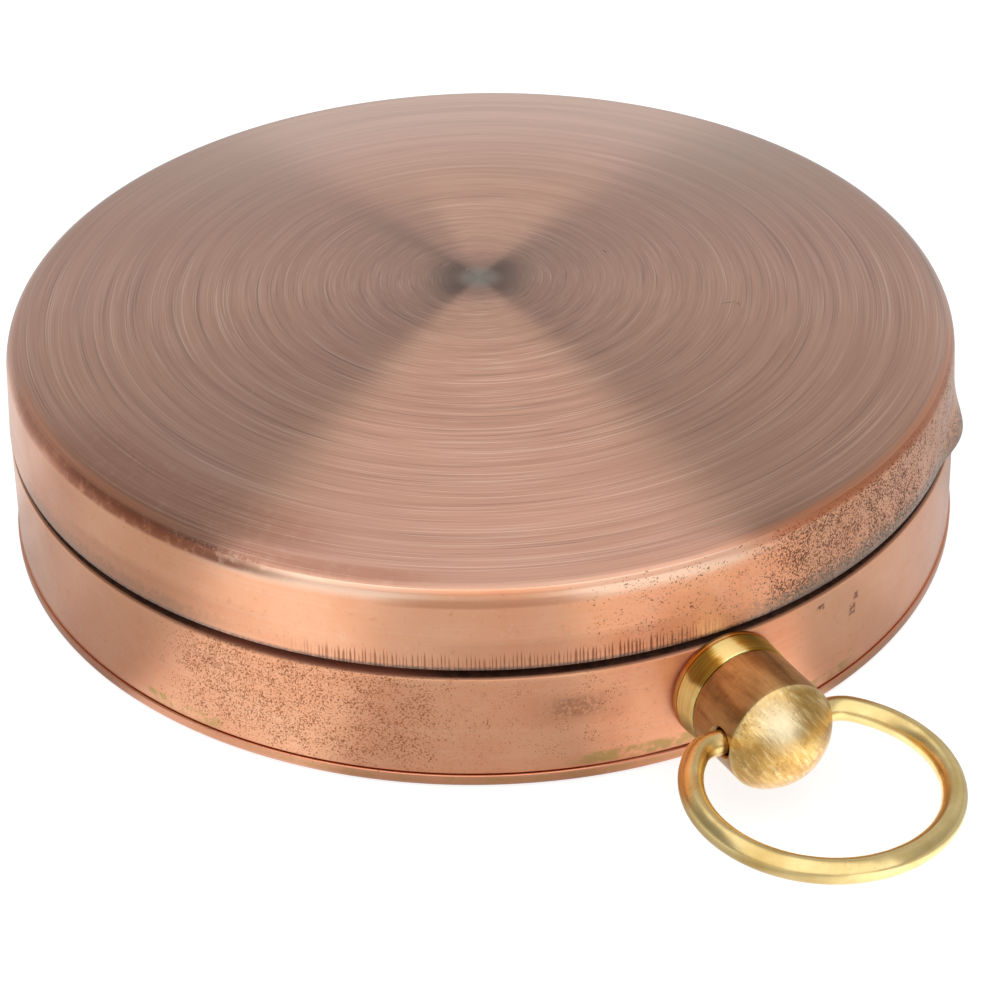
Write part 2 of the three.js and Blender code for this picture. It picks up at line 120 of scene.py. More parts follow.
POST_ROUND = 0.07
SHANK_CHAMFER = 0.1
SIDE_BREAK = 0.03
HEAD_BREAK = 0.04
HOLE_STRAIGHT = 2.62
HOLE_CUT_END = 4.0
HOLE_FLARE = 1.4
LEAF_BEVEL = 0.08
INK_THICKNESS = 0.04
INK_FOOT = 0.005
INK_TOP = 0.03
STAR_TOP = 0.04
STAR_GAP = 0.06
TICK_HEIGHT = 0.05
TICK_LIFT = 0.03
LETTER_SIZE, LETTER_RADIUS = 3.6, 13.2
NUMBER_SIZE, NUMBER_RADIUS = 1.5, 18.0
NEEDLE_PAINT_EDGE = (-3.4, -3.2)
COVER_RINGS = (0.0, 8.0, 16.0, 22.0)

# The star's long and short points, each as the distance of its tip, its waist and its root from the middle
LONG_POINT = (10.6, 2.3, 2.05)
SHORT_POINT = (6.8, 2.6, 2.5)

# How thick the wire is at its two ends, as shares of its size, outermost first
WIRE_END_SHARES = (0.86, 0.97)

# Into how many sides the turned pieces are divided, and which radius counts as being on the axis
LID_SIDES = 360
CASE_SIDES = 320
CAPSULE_SIDES = 240
COLLAR_SIDES = 192
POST_SIDES = 160
HOLE_SIDES = 64
ON_AXIS = 1e-6

# Angles in degrees: below which edges are smooth, and what counts as flat and as sharp on the hinge's leaves
SMOOTH_BELOW = 32.0
LEAF_SMOOTH_BELOW = 38.0
LEAF_FLAT_BELOW = 0.6
LEAF_SHARP_FROM = 40

# Camera found from the photo: where it stands, its lens and its small roll
CAMERA_AZIMUTH = -26.43
CAMERA_ELEVATION = 34.85
CAMERA_DISTANCE = 150.0
CAMERA_ROLL = -1.30
CAMERA_LENS = 99.28
CAMERA_SENSOR = 36
CAMERA_SHIFT = (0.00722, -0.00884)

# How deep the relief of a finish is, in metres
FINE_RELIEF = 0.00002
WORN_RELIEF = 0.00003
SCUFFED_RELIEF = 0.00004
DENTED_RELIEF = 0.00006


# Shader and geometry nodes

class Value:
    """What a node puts out, reckoned with like a number: each step of a sum makes one more node."""

    def __init__(self, socket):
        self.socket, self.tree = socket, socket.id_data

    def __add__(self, other):
        return calc("ADD", self, other)

    def __sub__(self, other):
        return calc("SUBTRACT", self, other)

    def __rsub__(self, other):
        return calc("SUBTRACT", other, self)

    def __mul__(self, other):
        return calc("MULTIPLY", self, other)

    def __truediv__(self, other):
        return calc("DIVIDE", self, other)

    def __rtruediv__(self, other):
        return calc("DIVIDE", other, self)


class Outputs:
    """The outputs of a node, each found by its name or number."""

    def __init__(self, node):
        self.node = node

    def __getitem__(self, key):
        return Value(self.node.outputs[key])


def colour(*seen):
    """A shader colour from the 0 to 255 values seen on the real finish."""
    shares = [value / 255 for value in seen]
    return [s / 12.92 if s <= 0.04045 else ((s + 0.055) / 1.055) ** 2.4 for s in shares] + [1.0]


def feed(node, inputs):
    """Gives a node its inputs, each as a plain value, three numbers of a colour, or what another node puts out."""
    for name, value in inputs.items():
        socket = node.inputs[name.replace("_", " ") if isinstance(name, str) else name]
        if isinstance(value, Value):
            node.id_data.links.new(value.socket, socket)
        elif socket.type == "RGBA" and len(value) == 3:
            socket.default_value = colour(*value)
        else:
            socket.default_value = value


def add(tree, kind, inputs=None, **settings):
    """The outputs of one more node, with its settings and its inputs."""
    made = tree.nodes.new(kind)
    made.location = (220 * (len(tree.nodes) % 9), -260 * (len(tree.nodes) // 9))
    for name, value in settings.items():
        setattr(made, name, value)
    feed(made, inputs or {})
    return Outputs(made)


def tree_behind(values):
    """The node tree of the first of these values that a node puts out."""
    return next(value.tree for value in values if isinstance(value, Value))


def calc(operation, *numbers):
    return add(tree_behind(numbers), "ShaderNodeMath", dict(enumerate(numbers)), operation=operation)[0]


def vector_calc(operation, vector, second=None, **scale):
    """One step with vectors. Lengths and dot products come out as numbers."""
    inputs = {0: vector, **({} if second is None else {1: second}), **scale}
    made = add(vector.tree, "ShaderNodeVectorMath", inputs, operation=operation)
    return made["Value" if operation in ("LENGTH", "DOT_PRODUCT") else 0]


def joined(**parts):
    """A vector from the numbers given for X, Y and Z."""
    return add(tree_behind(parts.values()), "ShaderNodeCombineXYZ", parts)[0]


def parts_of(vector):
    return add(vector.tree, "ShaderNodeSeparateXYZ", {0: vector})


def mapped(vector, kind="POINT", **inputs):
    return add(vector.tree, "ShaderNodeMapping", {"Vector": vector, **inputs}, vector_type=kind)[0]


def between(value, low, high, to_low=0.0, to_high=1.0, smooth=True):
    """The value taken from low..high to to_low..to_high, clamped."""
    inputs = {"Value": value, "From Min": low, "From Max": high, "To Min": to_low, "To Max": to_high}
    return add(value.tree, "ShaderNodeMapRange", inputs, interpolation_type="SMOOTHSTEP" if smooth else "LINEAR")[0]


def stretched(vector, scale):
    return vector_calc("MULTIPLY", vector, scale)


def noise(vector, scale, detail=2.0, roughness=0.5, distortion=0.0):
    inputs = {"Vector": vector, "Scale": scale, "Detail": detail, "Roughness": roughness, "Distortion": distortion}
    return add(vector.tree, "ShaderNodeTexNoise", inputs)[0]


def mixed(share, first, second):
    inputs = {0: share, 6: first, 7: second}
    return add(share.tree, "ShaderNodeMix", inputs, data_type="RGBA", clamp_factor=True)[2]


def layered(base, *layers):
    """A base colour with others laid on it in turn, each given with its share before it."""
    for share, shade in layers:
        base = mixed(share, base, shade)
    return base


def grey(level):
    return add(level.tree, "ShaderNodeCombineColor", {0: level, 1: level, 2: level})[0]


def radial(place, axis):
    """Tangents that run round an axis."""
    return add(place.tree, "ShaderNodeTangent", direction_type="RADIAL", axis=axis)[0]


def bumped(height, strength, distance):
    return add(height.tree, "ShaderNodeBump", {"Height": height, "Strength": strength, "Distance": distance})[0]


def effect(name, **inputs):
    """Makes the function after it into a shader node group, built once. The group's inputs are given here with their
    defaults, None for a vector. The function takes them in that order and returns the outputs by name. Calling it
    afterwards puts one more of the group in the tree of its inputs, and gives its outputs, or its only one."""
    group = bpy.data.node_groups.new(name, "ShaderNodeTree")
    labels = [label.replace("_", " ") for label in inputs]
    for label, value in zip(labels, inputs.values()):
        kind = "NodeSocketVector" if value is None else "NodeSocketFloat"
        made = group.interface.new_socket(label, in_out="INPUT", socket_type=kind)
        if value is not None:
            made.default_value = value

    def built(steps):
        given = Outputs(group.nodes.new("NodeGroupInput"))
        found = steps(*[given[label] for label in labels])
        for label, value in found.items():
            kind = "NodeSocketVector" if value.socket.type == "VECTOR" else "NodeSocketFloat"
            group.interface.new_socket(label, in_out="OUTPUT", socket_type=kind)
        feed(group.nodes.new("NodeGroupOutput"), found)

        def used(*values):
            made = add(tree_behind(values), "ShaderNodeGroup", dict(zip(labels, values)), node_tree=group)
            return made if len(found) > 1 else made[0]
        return used
    return built


@effect("round_place", Position=None)
def round_place(position):
    """Where a point lies round the case: radius and height in mm, angle in degrees, and the unit direction."""
    mm = vector_calc("SCALE", position, Scale=1 / MM)
    x, y, z = parts_of(mm)
    flat = joined(X=x, Y=y)
    angle = calc("DEGREES", calc("ARCTAN2", y, x))
    radius, direction = vector_calc("LENGTH", flat), vector_calc("NORMALIZE", flat)
    return {"Millimetres": mm, "Radius": radius, "Angle": angle, "Height": z, "Direction": direction}


@effect("short_mark", Millimetres=None, Right=0.0, Back=0.0, Turn=0.0, Length=1.0, Width=0.1)
def short_mark(mm, right, back, turn, length, width):
    """One small straight mark lying in the plane of the lid, with soft ends."""
    x, y, z = parts_of(mm)
    x, y = x - right, y - back
    turn = calc("RADIANS", turn)
    cosine, sine = calc("COSINE", turn), calc("SINE", turn)
    reach = calc("ABSOLUTE", x * cosine + y * sine) / length
    spread = calc("ABSOLUTE", y * cosine - x * sine) / width
    return {"Mask": between(reach, 0.3, 0.5, 1.0, 0.0) * between(spread, 0.2, 0.6, 1.0, 0.0)}


@effect("angle_patch", Angle=0.0, Middle=0.0, Half_width=20.0, Softness=10.0)
def angle_patch(angle, middle, half_width, softness):
    """A soft-edged window round an angle, 1 in its middle and 0 outside."""
    away = calc("ABSOLUTE", calc("WRAP", angle - middle, 180.0, -180.0))
    return {"Mask": between(away, half_width, half_width + softness, 1.0, 0.0)}


@effect("turned_lines", Along=0.0, Direction=None, Spacing=0.3, Waver=1.0)
def turned_lines(along, direction, spacing, waver):
    """Fine lines left by a turning tool or a brush: they change fast along the cut and slowly round it."""
    slow = vector_calc("SCALE", direction, Scale=waver)
    return {"Lines": noise(vector_calc("ADD", slow, joined(Z=along / spacing)), 1.0, 2.0, 0.5)}


@effect("pitting", Millimetres=None, Size=0.13, Cover=0.5)
def pitting(mm, size, cover):
    """Small dark pits of a worn patina, gathered in loose clusters."""
    grain = 1.0 / size
    fine = noise(mm, grain, 2.0, 0.65, 0.4)
    loose = noise(mm, grain * 0.12, 2.0, 0.6)
    level = between(cover, 0.0, 1.0, 0.68, 0.47, smooth=False)
    return {"Pits": between(fine * 0.78 + loose * 0.22, level, level + 0.085)}


@effect("toning_clouds", Millimetres=None, Size=8.0, Contrast=1.0)
def toning_clouds(mm, size, contrast):
    """Broad uneven toning, from 0 to 1."""
    raw = noise(mm, 1.0 / size, 4.0, 0.55, 0.4)
    tone = (raw - 0.5) * contrast * 2.0 + 0.5
    return {"Tone": add(tone.tree, "ShaderNodeClamp", {0: tone})[0]}


@effect("hairlines", Millimetres=None, Amount=0.5)
def hairlines(mm, amount):
    """Sparse long handling scratches running in two directions."""
    limit = between(amount, 0.0, 1.0, 0.82, 0.6, smooth=False)
    found = []
    for turn, shift in ((0.6, 3.0), (-0.9, 11.0)):
        spun = mapped(mm, Rotation=(0.35, 0.2, turn), Location=(shift, -shift, shift))
        streak = noise(stretched(spun, (0.16, 5.5, 5.5)), 1.0, 2.0, 0.4)
        found.append(between(streak, limit, limit + 0.06))
    return {"Scratches": calc("MAXIMUM", *found)}


def wired(material, **inputs):
    """The material, its shader given these constants and node outputs."""
    feed(material.node_tree.nodes["Principled BSDF"], inputs)
    return material


def new_material(name, **constants):
    """A material with one Principled shader and its constants, and the object's own coordinates."""
    material = bpy.data.materials.new(name)
    material.use_nodes = True
    return wired(material, **constants), add(material.node_tree, "ShaderNodeTexCoord")["Object"]


# Finishes of the copper pieces

def patches(where, spots):
    """The strongest of several patches, each with its middle angle, half width, softness, foot, top and strength."""
    found = None
    for middle, half, soft, foot, top, strength in spots:
        span = top - foot
        rise = between(where["Height"], foot - 0.25 * span, foot + 0.15 * span)
        fall = between(where["Height"], top - 0.15 * span, top + 0.25 * span, 1.0, 0.0)
        mask = angle_patch(where["Angle"], middle, half, soft) * rise * fall * strength
        found = calc("MAXIMUM", found, mask) if found else mask
    return found


def grimed(where, base):
    """Dark brown soiling and painted shade on the lid's shoulder, uneven along it."""
    broken = noise(where["Millimetres"], 1.5, 4.0, 0.65)
    return mixed(patches(where, SHOULDER_GRIME_AND_SHADE) * between(broken, 0.32, 0.52, 0.45, 0.85), base, (150, 80, 50))


def spun_copper():
    """The lid's crown: concentric brushing in antique copper, darker towards the middle, with a painted sheen at the
    back, a painted highlight with glints along its edge, and painted shade on the front shoulder and in a wedge near
    the middle.
    """
    material, place = new_material(
        "spun_copper_crown", Anisotropic=1.0, Anisotropic_Rotation=0.25, Coat_Weight=0.9, Coat_Roughness=0.15,
    )
    where = round_place(place)
    radius, angle, height, mm = where["Radius"], where["Angle"], where["Height"], where["Millimetres"]
    fine, middle, deep, rare = [
        turned_lines(radius, where["Direction"], spacing, waver) for spacing, waver in CROWN_BRUSHING
    ]
    clouds = toning_clouds(mm, 9.0, 0.9)
    kept = between(vector_calc("DOT_PRODUCT", mm, CROWN_BACK), -2.0, 17.0, 1.0, 0.45)
    # The front, nearest the camera, takes painted shade high on its shoulder and no painted edge highlight.
    front = angle_patch(angle, -112.0, 16.0, 26.0) * 0.55
    broken = noise(mm, 1.8, 4.0, 0.65)
    # Painted highlight: a pale peach band along the crown's outer edge.
    edge = between(height, 11.52, 11.15) * between(broken, 0.3, 0.55, 0.6, 1.0) * (1.0 - front)
    # Painted shade: a darker band high on the shoulder, laid on the front.
    shade = between(height, 11.3, 11.55) * between(height, 11.7, 11.95, 1.0, 0.0)
    # Painted glints on that edge highlight.
    glint = between(noise(mm, 6.0, 3.0, 0.6), 0.5, 0.64) * edge * angle_patch(angle, -147.0, 3.0, 5.0)
    base = layered(
        mixed(between(deep, 0.3, 0.7), (196, 145, 120), (211, 160, 135)),
        (between(fine, 0.45, 0.8) * (kept * 0.5), (236, 196, 172)),
        (between(middle, 0.46, 0.22) * (kept * 0.55), (136, 98, 82)),
        (between(rare, 0.36, 0.27) * (kept * 0.5), (108, 78, 66)),
        (between(rare, 0.6, 0.68) * (kept * 0.55), (250, 214, 190)),
        (clouds * 0.2, (174, 132, 114)),
        # Painted sheen: a paler sector at the back of the crown.
        (angle_patch(angle, 60.0, 30.0, 45.0) * between(radius, 9.0, 24.0, 0.0, 0.4), (232, 212, 202)),
        # Painted shade: a darker wedge near the middle.
        (angle_patch(angle, 94.0, 7.0, 14.0) * between(radius, 6.0, 15.0, 0.4, 0.0), (140, 104, 88)),
        (edge, (248, 186, 152)),
        (shade * front, (158, 112, 90)),
        (between(radius, 2.5, 10.0, 0.3, 0.0), (150, 114, 96)),
        (between(radius, 1.2, 3.6, 0.65, 0.0), (116, 94, 84)),
        (between(radius, 0.4, 1.5, 0.8, 0.0), (90, 91, 82)),
        *[(short_mark(mm, *mark) * depth, (74, 56, 50)) for *mark, depth in CROWN_MARKS],
        (patches(where, SHOULDER_RUST) * between(clouds, 0.1, 0.5, 0.5, 0.9), (226, 144, 100)),
    )
    base = layered(
        # Soiling and painted shade on the shoulder.
        grimed(where, base),
        (glint * 0.8, (255, 232, 206)),
        (hairlines(mm, 0.2) * 0.3, (240, 206, 186)),
    )
    return wired(
        material, Base_Color=base, Metallic=between(radius, 0.4, 1.4, 0.12, 1.0),
        Roughness=deep * 0.08 + between(radius, 1.2, 3.4, 0.5, 0.28),
        Normal=bumped((fine * 0.4 + middle * 0.8) * kept, 0.07, FINE_RELIEF), Tangent=radial(place, "Z"),
    )


def aged_copper(name, tones, pits, haze_and_shade, scuffs, foot, foot_shade, stains=(), patina=(), grease=(), strokes=(), rusted=(),
                speck=(0.11, (146, 94, 64), 0.7), top=None):
    """Lacquered copper of the skirt and the band, with the worn places that each one has, a painted sheen on the
    skirt's shoulder, and painted shade at the foot, on the band's top in the gap under the lid and in one hazy patch.
    """
    material, place = new_material(name, Metallic=1.0, Coat_Weight=0.55, Coat_Roughness=0.16)
    where = round_place(place)
    angle, height, mm = where["Angle"], where["Height"], where["Millimetres"]
    clouds = toning_clouds(mm, 5.0, 1.0)
    lines = turned_lines(height, where["Direction"], 0.16, 2.6)
    mottle = noise(mm, 2.6, 4.0, 0.7)
    rust_and_shade, cover = patches(where, haze_and_shade), patches(where, pits)
    size, dark, share = speck
    wear = pitting(mm, size, cover) * between(cover, 0.02, 0.3)
    base = layered(
        mixed(clouds, *tones),
        (between(lines, 0.5, 0.75) * 0.18, (255, 212, 184)),
        (between(mottle, 0.42, 0.3, 0.0, 0.3), (196, 134, 100)),
        (between(mottle, 0.58, 0.72, 0.0, 0.3), (255, 216, 186)),
        # Painted sheen: pale highlights on the skirt's shoulder.
        (patches(where, SHOULDER_SHEEN) * 0.9, (255, 217, 190)),
        # Hazy brown patches; one on the skirt is painted shade.
        (rust_and_shade, (196, 128, 92)),
        (wear * share, dark),
    )
    if stains:
        broken = between(noise(mm, 4.6, 3.0, 0.6), 0.38, 0.52)
        base = mixed(patches(where, stains) * broken * 0.9, base, (132, 74, 44))
    if grease:
        broken = between(noise(mm, 1.3, 4.0, 0.6), 0.36, 0.58)
        base = mixed(patches(where, grease) * broken * 0.72, base, (178, 154, 78))
    if patina:
        limit = between(height, foot + 0.1, foot + 1.9, 0.1, 0.68, smooth=False)
        broken = between(noise(mm, 3.4, 5.0, 0.7), limit, limit + 0.3)
        base = mixed(patches(where, patina) * broken * 0.66, base, (126, 120, 110))
    if strokes:
        drift = noise(joined(X=angle * 0.7), 1.0, 1.0, 0.5)
        wave = calc("SINE", angle * 14.2 + drift * 16.0) * 0.2
        each = noise(joined(X=angle * 2.1, Y=height * 0.3), 1.0, 2.0, 0.6) + wave
        over = height - between(each, 0.4, 0.8, foot + 0.55, foot + 1.15, smooth=False)
        drawn = between(each, 0.46, 0.68) * between(over, -0.4, 0.1, 1.0, 0.0) * patches(where, strokes)
        rim = between(height, foot + 0.04, foot + 0.12) * between(height, foot + 0.12, foot + 0.34, 1.0, 0.0)
        rim = rim * between(noise(mm, 5.0, 3.0, 0.6), 0.3, 0.6, 0.35, 0.95)
        base = layered(base, (drawn * 0.62, (138, 84, 62)), (rim, (112, 102, 100)))
        wear = calc("MAXIMUM", wear, drawn)
    # Painted shade along the foot, in the gap where this piece meets the next: near black and less metallic.
    gap_shade = between(height, foot + 0.02, foot + 0.1, foot_shade, 0.0)
    base = mixed(gap_shade, base, (34, 28, 28))
    # Painted shade on the band's top corner and flat top, which lie in the gap under the lid, lighter towards -136
    # degrees.
    if top:
        corner = between(height, top - 0.15, top - 0.04, 0.0, 0.85)
        land_in_shade = mixed(between(mottle, 0.35, 0.65), (58, 41, 36), (96, 64, 50))
        land_in_shade = mixed(angle_patch(angle, -136.0, 8.0, 9.0) * 0.85, land_in_shade, (176, 108, 86))
        base = layered(base, (corner, (118, 66, 36)), (between(height, top - 0.03, top - 0.004, 0.0, 0.95), land_in_shade))
        gap_shade = calc("MAXIMUM", gap_shade, corner)
    if rusted:
        # Orange-brown shoulder band, then soiling and painted shade over it.
        base = grimed(where, mixed(patches(where, rusted) * 0.85, base, (188, 106, 66)))
    base = mixed(hairlines(mm, scuffs) * 0.25, base, (150, 100, 78))
    grain = noise(stretched(mm, (1.0, 1.0, 3.0)), 2.4, 5.0, 0.6)
    return wired(
        material, Base_Color=base, Metallic=1.0 - gap_shade * 0.9, Coat_Weight=0.55 - calc("MAXIMUM", wear, gap_shade) * 0.5,
        Roughness=clouds * 0.08 + 0.27 + wear * 0.25 + rust_and_shade * 0.12 + patches(where, DULLED) * 0.3,
        Normal=bumped(grain * 0.25 - wear, 0.35, WORN_RELIEF),
    )


def plain_copper(name, shade_span=None):
    """Copper inside the lid and on the hinge, softly tumbled, with a band of painted shade where two pieces meet."""
    material, place = new_material(name, Metallic=1.0)
    where = round_place(place)
    mm, height = where["Millimetres"], where["Height"]
    clouds, pits, scratches = toning_clouds(mm, 4.0, 1.2), pitting(mm, 0.14, 0.25), hairlines(mm, 0.3)
    base = layered(
        mixed(clouds, (226, 160, 126), (196, 132, 102)),
        (pits * 0.5, (120, 78, 60)),
        (scratches * 0.3, (240, 190, 160)),
    )
    rough = clouds * 0.15 + 0.28
    # Painted shade: a near black band where the neck shows in the gap under the lid.
    if shade_span:
        low, high = shade_span
        band = between(height, high - 0.1, high + 0.3, 0.95, 0.0) * between(height, low - 0.4, low)
        base = mixed(band, base, (26, 20, 18))
        rough = rough + band * 0.3
    return wired(material, Base_Color=base, Roughness=rough, Normal=bumped(scratches - pits, 0.3, FINE_RELIEF))


# Finishes of the brass and the small pieces

def stem_place(place):
    """Position along and round the stem, in mm, and its three numbers, the last running along the stem."""
    local = mapped(
        place, "TEXTURE", Location=stem_matrix.translation * MM, Rotation=stem_matrix.to_euler(), Scale=(MM, MM, MM),
    )
    return local, *parts_of(local)


def outward(x, y):
    """The unit direction away from the stem's axis."""
    return vector_calc("NORMALIZE", joined(X=x, Y=y))


def bright_cut_brass():
    """The collar: lacquered brass with fine bright turning lines, an orange cast at its rim, and painted reflections in
    bright and dark sectors round it.
    """
    material, place = new_material("bright_cut_brass", Metallic=1.0, Anisotropic=0.7, Anisotropic_Rotation=0.25)
    local, x, y, z = stem_place(place)
    lines, broad = turned_lines(z, outward(x, y), 0.07, 0.6), turned_lines(z, outward(x, y), 0.25, 1.2)
    angle = calc("DEGREES", calc("ARCTAN2", y, x)) + (noise(local, 0.8, 2.0, 0.5) - 0.5) * 20.0
    rim = COLLAR_BACK_GAP + COLLAR_RIM
    base = layered(
        mixed(between(lines, 0.38, 0.6), (222, 172, 56), (255, 238, 128)),
        # Painted reflections: bright and dark sectors round the collar.
        *[(angle_patch(angle, *sector) * share, shade) for *sector, share, shade in COLLAR_REFLECTION_SECTORS],
        (between(z, rim, rim + 0.1, 0.75, 0.0), (196, 104, 36)),
    )
    return wired(
        material, Base_Color=base, Roughness=broad * 0.14 + 0.36,
        Normal=bumped(lines + broad * 1.4, 0.3, WORN_RELIEF), Tangent=radial(place, "Y"),
    )


def stem_brass():
    """The post's side: bronze-toned, drawn along its length."""
    material, place = new_material("bronzed_stem_brass", Metallic=1.0, Anisotropic=0.75, Anisotropic_Rotation=0.25)
    local, x, y, z = stem_place(place)
    drawn = noise(stretched(local, (1.3, 1.3, 0.22)), 1.0, 3.0, 0.6)
    rings = turned_lines(z, outward(x, y), 0.1, 3.0)
    base = layered(
        mixed(between(drawn, 0.3, 0.7), (148, 108, 64), (202, 160, 106)),
        (between(rings, 0.5, 0.75) * 0.3, (222, 180, 122)),
        (between(noise(local, 0.9, 4.0, 0.6), 0.52, 0.7, 0.0, 0.35), (128, 88, 48)),
    )
    lift = drawn * 0.6 + noise(local, 1.5, 2.0, 0.5) * 0.8
    return wired(
        material, Base_Color=base, Roughness=drawn * 0.14 + 0.27, Normal=bumped(lift, 0.35, WORN_RELIEF),
        Tangent=radial(place, "Y"),
    )


def head_brass():
    """The post's domed head: golden, scuffed in one direction, with small pits and brown specks, a painted highlight at
    its upper left and painted shade further from it.
    """
    material, place = new_material("scuffed_head_brass", Metallic=1.0)
    local, x, y, z = stem_place(place)
    tone = toning_clouds(local, 1.4, 1.2)
    scuff = noise(stretched(mapped(local, Rotation=(0.0, 0.0, 0.9)), (0.7, 7.0, 3.0)), 1.0, 3.0, 0.6)
    pits = pitting(local, 0.13, 0.4)
    right, up = x - HEAD_GLOSS[0], y - HEAD_GLOSS[1]
    away_from_highlight = calc("SQRT", right * right + up * up)
    edge = STEM_FOOT + STEM_LENGTH
    base = layered(
        mixed(tone, (228, 190, 118), (196, 152, 84)),
        (between(scuff, 0.5, 0.66) * 0.5, (255, 234, 176)),
        (between(scuff, 0.46, 0.34) * 0.35, (166, 124, 66)),
        (pits * 0.6, (130, 96, 52)),
        (between(noise(local, 0.9, 4.0, 0.6), 0.52, 0.68, 0.0, 0.5), (160, 120, 68)),
        # Painted shade further from the highlight.
        (between(away_from_highlight, 1.9, 4.0, 0.0, 0.45), (172, 132, 76)),
        # Painted highlight at the upper left.
        (between(away_from_highlight, 0.2, 1.5, 0.6, 0.0), (255, 246, 212)),
        (between(z, edge + 0.05, edge + 0.22, 0.35, 0.0), (240, 214, 156)),
    )
    return wired(
        material, Base_Color=base, Roughness=tone * 0.12 + 0.27, Normal=bumped(scuff * 1.6 - pits, 0.4, SCUFFED_RELIEF),
    )


def wire_brass():
    """The bow: polished pale brass wire with faint drawing lines and small dents, and painted shade on its underside.
    """
    material, place = new_material("polished_wire_brass", Metallic=1.0)
    mm = vector_calc("SCALE", place, Scale=1 / MM)
    y, z = stem_place(place)[2:]
    lean = math.radians(STEM_RISE + BOW_DROOP)
    # Across the wire's thickness, for painted shade on its underside.
    side = y * math.cos(lean) + (z - BOW_HOLE_AT) * math.sin(lean)
    tone, pits = toning_clouds(mm, 2.6, 1.2), pitting(mm, 0.12, 0.18)
    base = layered(
        mixed(tone, (246, 222, 160), (214, 182, 114)),
        # Painted shade on the wire's underside.
        (between(side, 0.2, -0.45, 0.0, 0.5), (180, 140, 82)),
        (pits * 0.45, (130, 100, 48)),
        (hairlines(mm, 0.35) * 0.3, (250, 236, 184)),
    )
    dents = noise(mm, 0.5, 1.0, 0.5) * 3.2 - pits * 0.3
    return wired(material, Base_Color=base, Roughness=tone * 0.1 + 0.21, Normal=bumped(dents, 0.4, DENTED_RELIEF))


def small_metal(name, light, dark, rough_low):
    """Turned or stamped metal of the small inner pieces."""
    material, place = new_material(name, Metallic=1.0)
    where = round_place(place)
    tone = toning_clouds(where["Millimetres"], 3.0, 1.0)
    lines = turned_lines(where["Radius"], where["Direction"], 0.12, 1.0)
    return wired(
        material, Base_Color=mixed(tone, light, dark), Roughness=lines * 0.12 + rough_low,
        Normal=bumped(lines, 0.2, FINE_RELIEF),
    )


def needle_paint():
    """Blued steel with the north arm painted red."""
    material, place = new_material("needle_blue_and_red", Metallic=0.0)
    mm = round_place(place)["Millimetres"]
    north = between(parts_of(mm)[1], *NEEDLE_PAINT_EDGE, 1.0, 0.0)
    tone = toning_clouds(mm, 2.0, 1.0)
    blue, red = mixed(tone, (38, 62, 128), (24, 38, 86)), mixed(tone, (190, 34, 30), (160, 24, 24))
    grain = noise(stretched(mm, (6.0, 0.6, 6.0)), 1.0, 2.0, 0.5)
    return wired(
        material, Base_Color=mixed(north, blue, red), Metallic=between(north, 0.0, 1.0, 0.85, 0.0),
        Roughness=tone * 0.12 + 0.22, Normal=bumped(grain, 0.15, FINE_RELIEF),
    )


def printed_paper(name, light, dark):
    material, place = new_material(name, Metallic=0.0)
    mm = round_place(place)["Millimetres"]
    fibre = noise(mm, 5.0, 5.0, 0.65)
    return wired(
        material, Base_Color=mixed(toning_clouds(mm, 6.0, 0.8), light, dark), Roughness=fibre * 0.15 + 0.5,
        Normal=bumped(fibre, 0.25, FINE_RELIEF),
    )


def gasket_rubber():
    material, place = new_material("gasket_rubber", Metallic=0.0)
    fine = noise(round_place(place)["Millimetres"], 4.0, 4.0, 0.6)
    return wired(
        material, Base_Color=mixed(fine, (30, 29, 28), (48, 46, 44)), Roughness=fine * 0.2 + 0.55,
        Normal=bumped(fine, 0.3, FINE_RELIEF),
    )


def clear_glass(name, tint, rough_low):
    material, place = new_material(name, Metallic=0.0, Transmission_Weight=1.0, IOR=1.5)
    scratches = hairlines(round_place(place)["Millimetres"], 0.2)
    return wired(
        material, Base_Color=mixed(scratches, tint, (255, 255, 255)), Roughness=scratches * 0.08 + rough_low,
    )


# Meshes

def set_out(name, data):
    """A new object in the scene."""
    made = bpy.data.objects.new(name, data)
    bpy.context.scene.collection.objects.link(made)
    return made


def dressed(mesh, *materials):
    mesh.materials.clear()
    for material in materials:
        mesh.materials.append(material)
    return mesh


def plain_mesh(thing, name):
    """The mesh that a text or an object with a modifier comes to. The object itself is removed."""
    bpy.context.view_layer.update()
    mesh = bpy.data.meshes.new_from_object(thing.evaluated_get(bpy.context.evaluated_depsgraph_get()))
    bpy.data.objects.remove(thing, do_unlink=True)
    mesh.name = name
    return mesh


def shaded(mesh, limit=SMOOTH_BELOW):
    """Smooth shading with the true corners kept sharp."""
    made = bmesh.new()
    made.from_mesh(mesh)
    for face in made.faces:
        face.smooth = True
    for edge in made.edges:
        turn = edge.calc_face_angle(0.0) if len(edge.link_faces) == 2 else 0.0
        edge.smooth = turn < math.radians(limit)
    made.to_mesh(mesh)
    made.free()
    return mesh


def finished(name, points, faces, materials, matrix=None, marks=None):
    """A piece at the origin with its place in its mesh. Points are in mm; marks gives each face its material."""
    mesh = bpy.data.meshes.new(name)
    placed = [(matrix @ Vector(p)) * MM if matrix else Vector(p) * MM for p in points]
    mesh.from_pydata(placed, [], faces)
    dressed(mesh, *materials)
    if marks:
        mesh.polygons.foreach_set("material_index", marks)
    mesh.validate()
    return set_out(name, shaded(mesh))


def arc(centre_radius, centre_height, radius, start, end, steps):
    angles = [math.radians(start + (end - start) * i / steps) for i in range(steps + 1)]
    return [(centre_radius + radius * math.cos(a), centre_height + radius * math.sin(a)) for a in angles]


def line(start, end, steps):
    """Points after the start, up to and including the end."""
    shares = [(i + 1) / steps for i in range(steps)]
    return [(start[0] + (end[0] - start[0]) * s, start[1] + (end[1] - start[1]) * s) for s in shares]


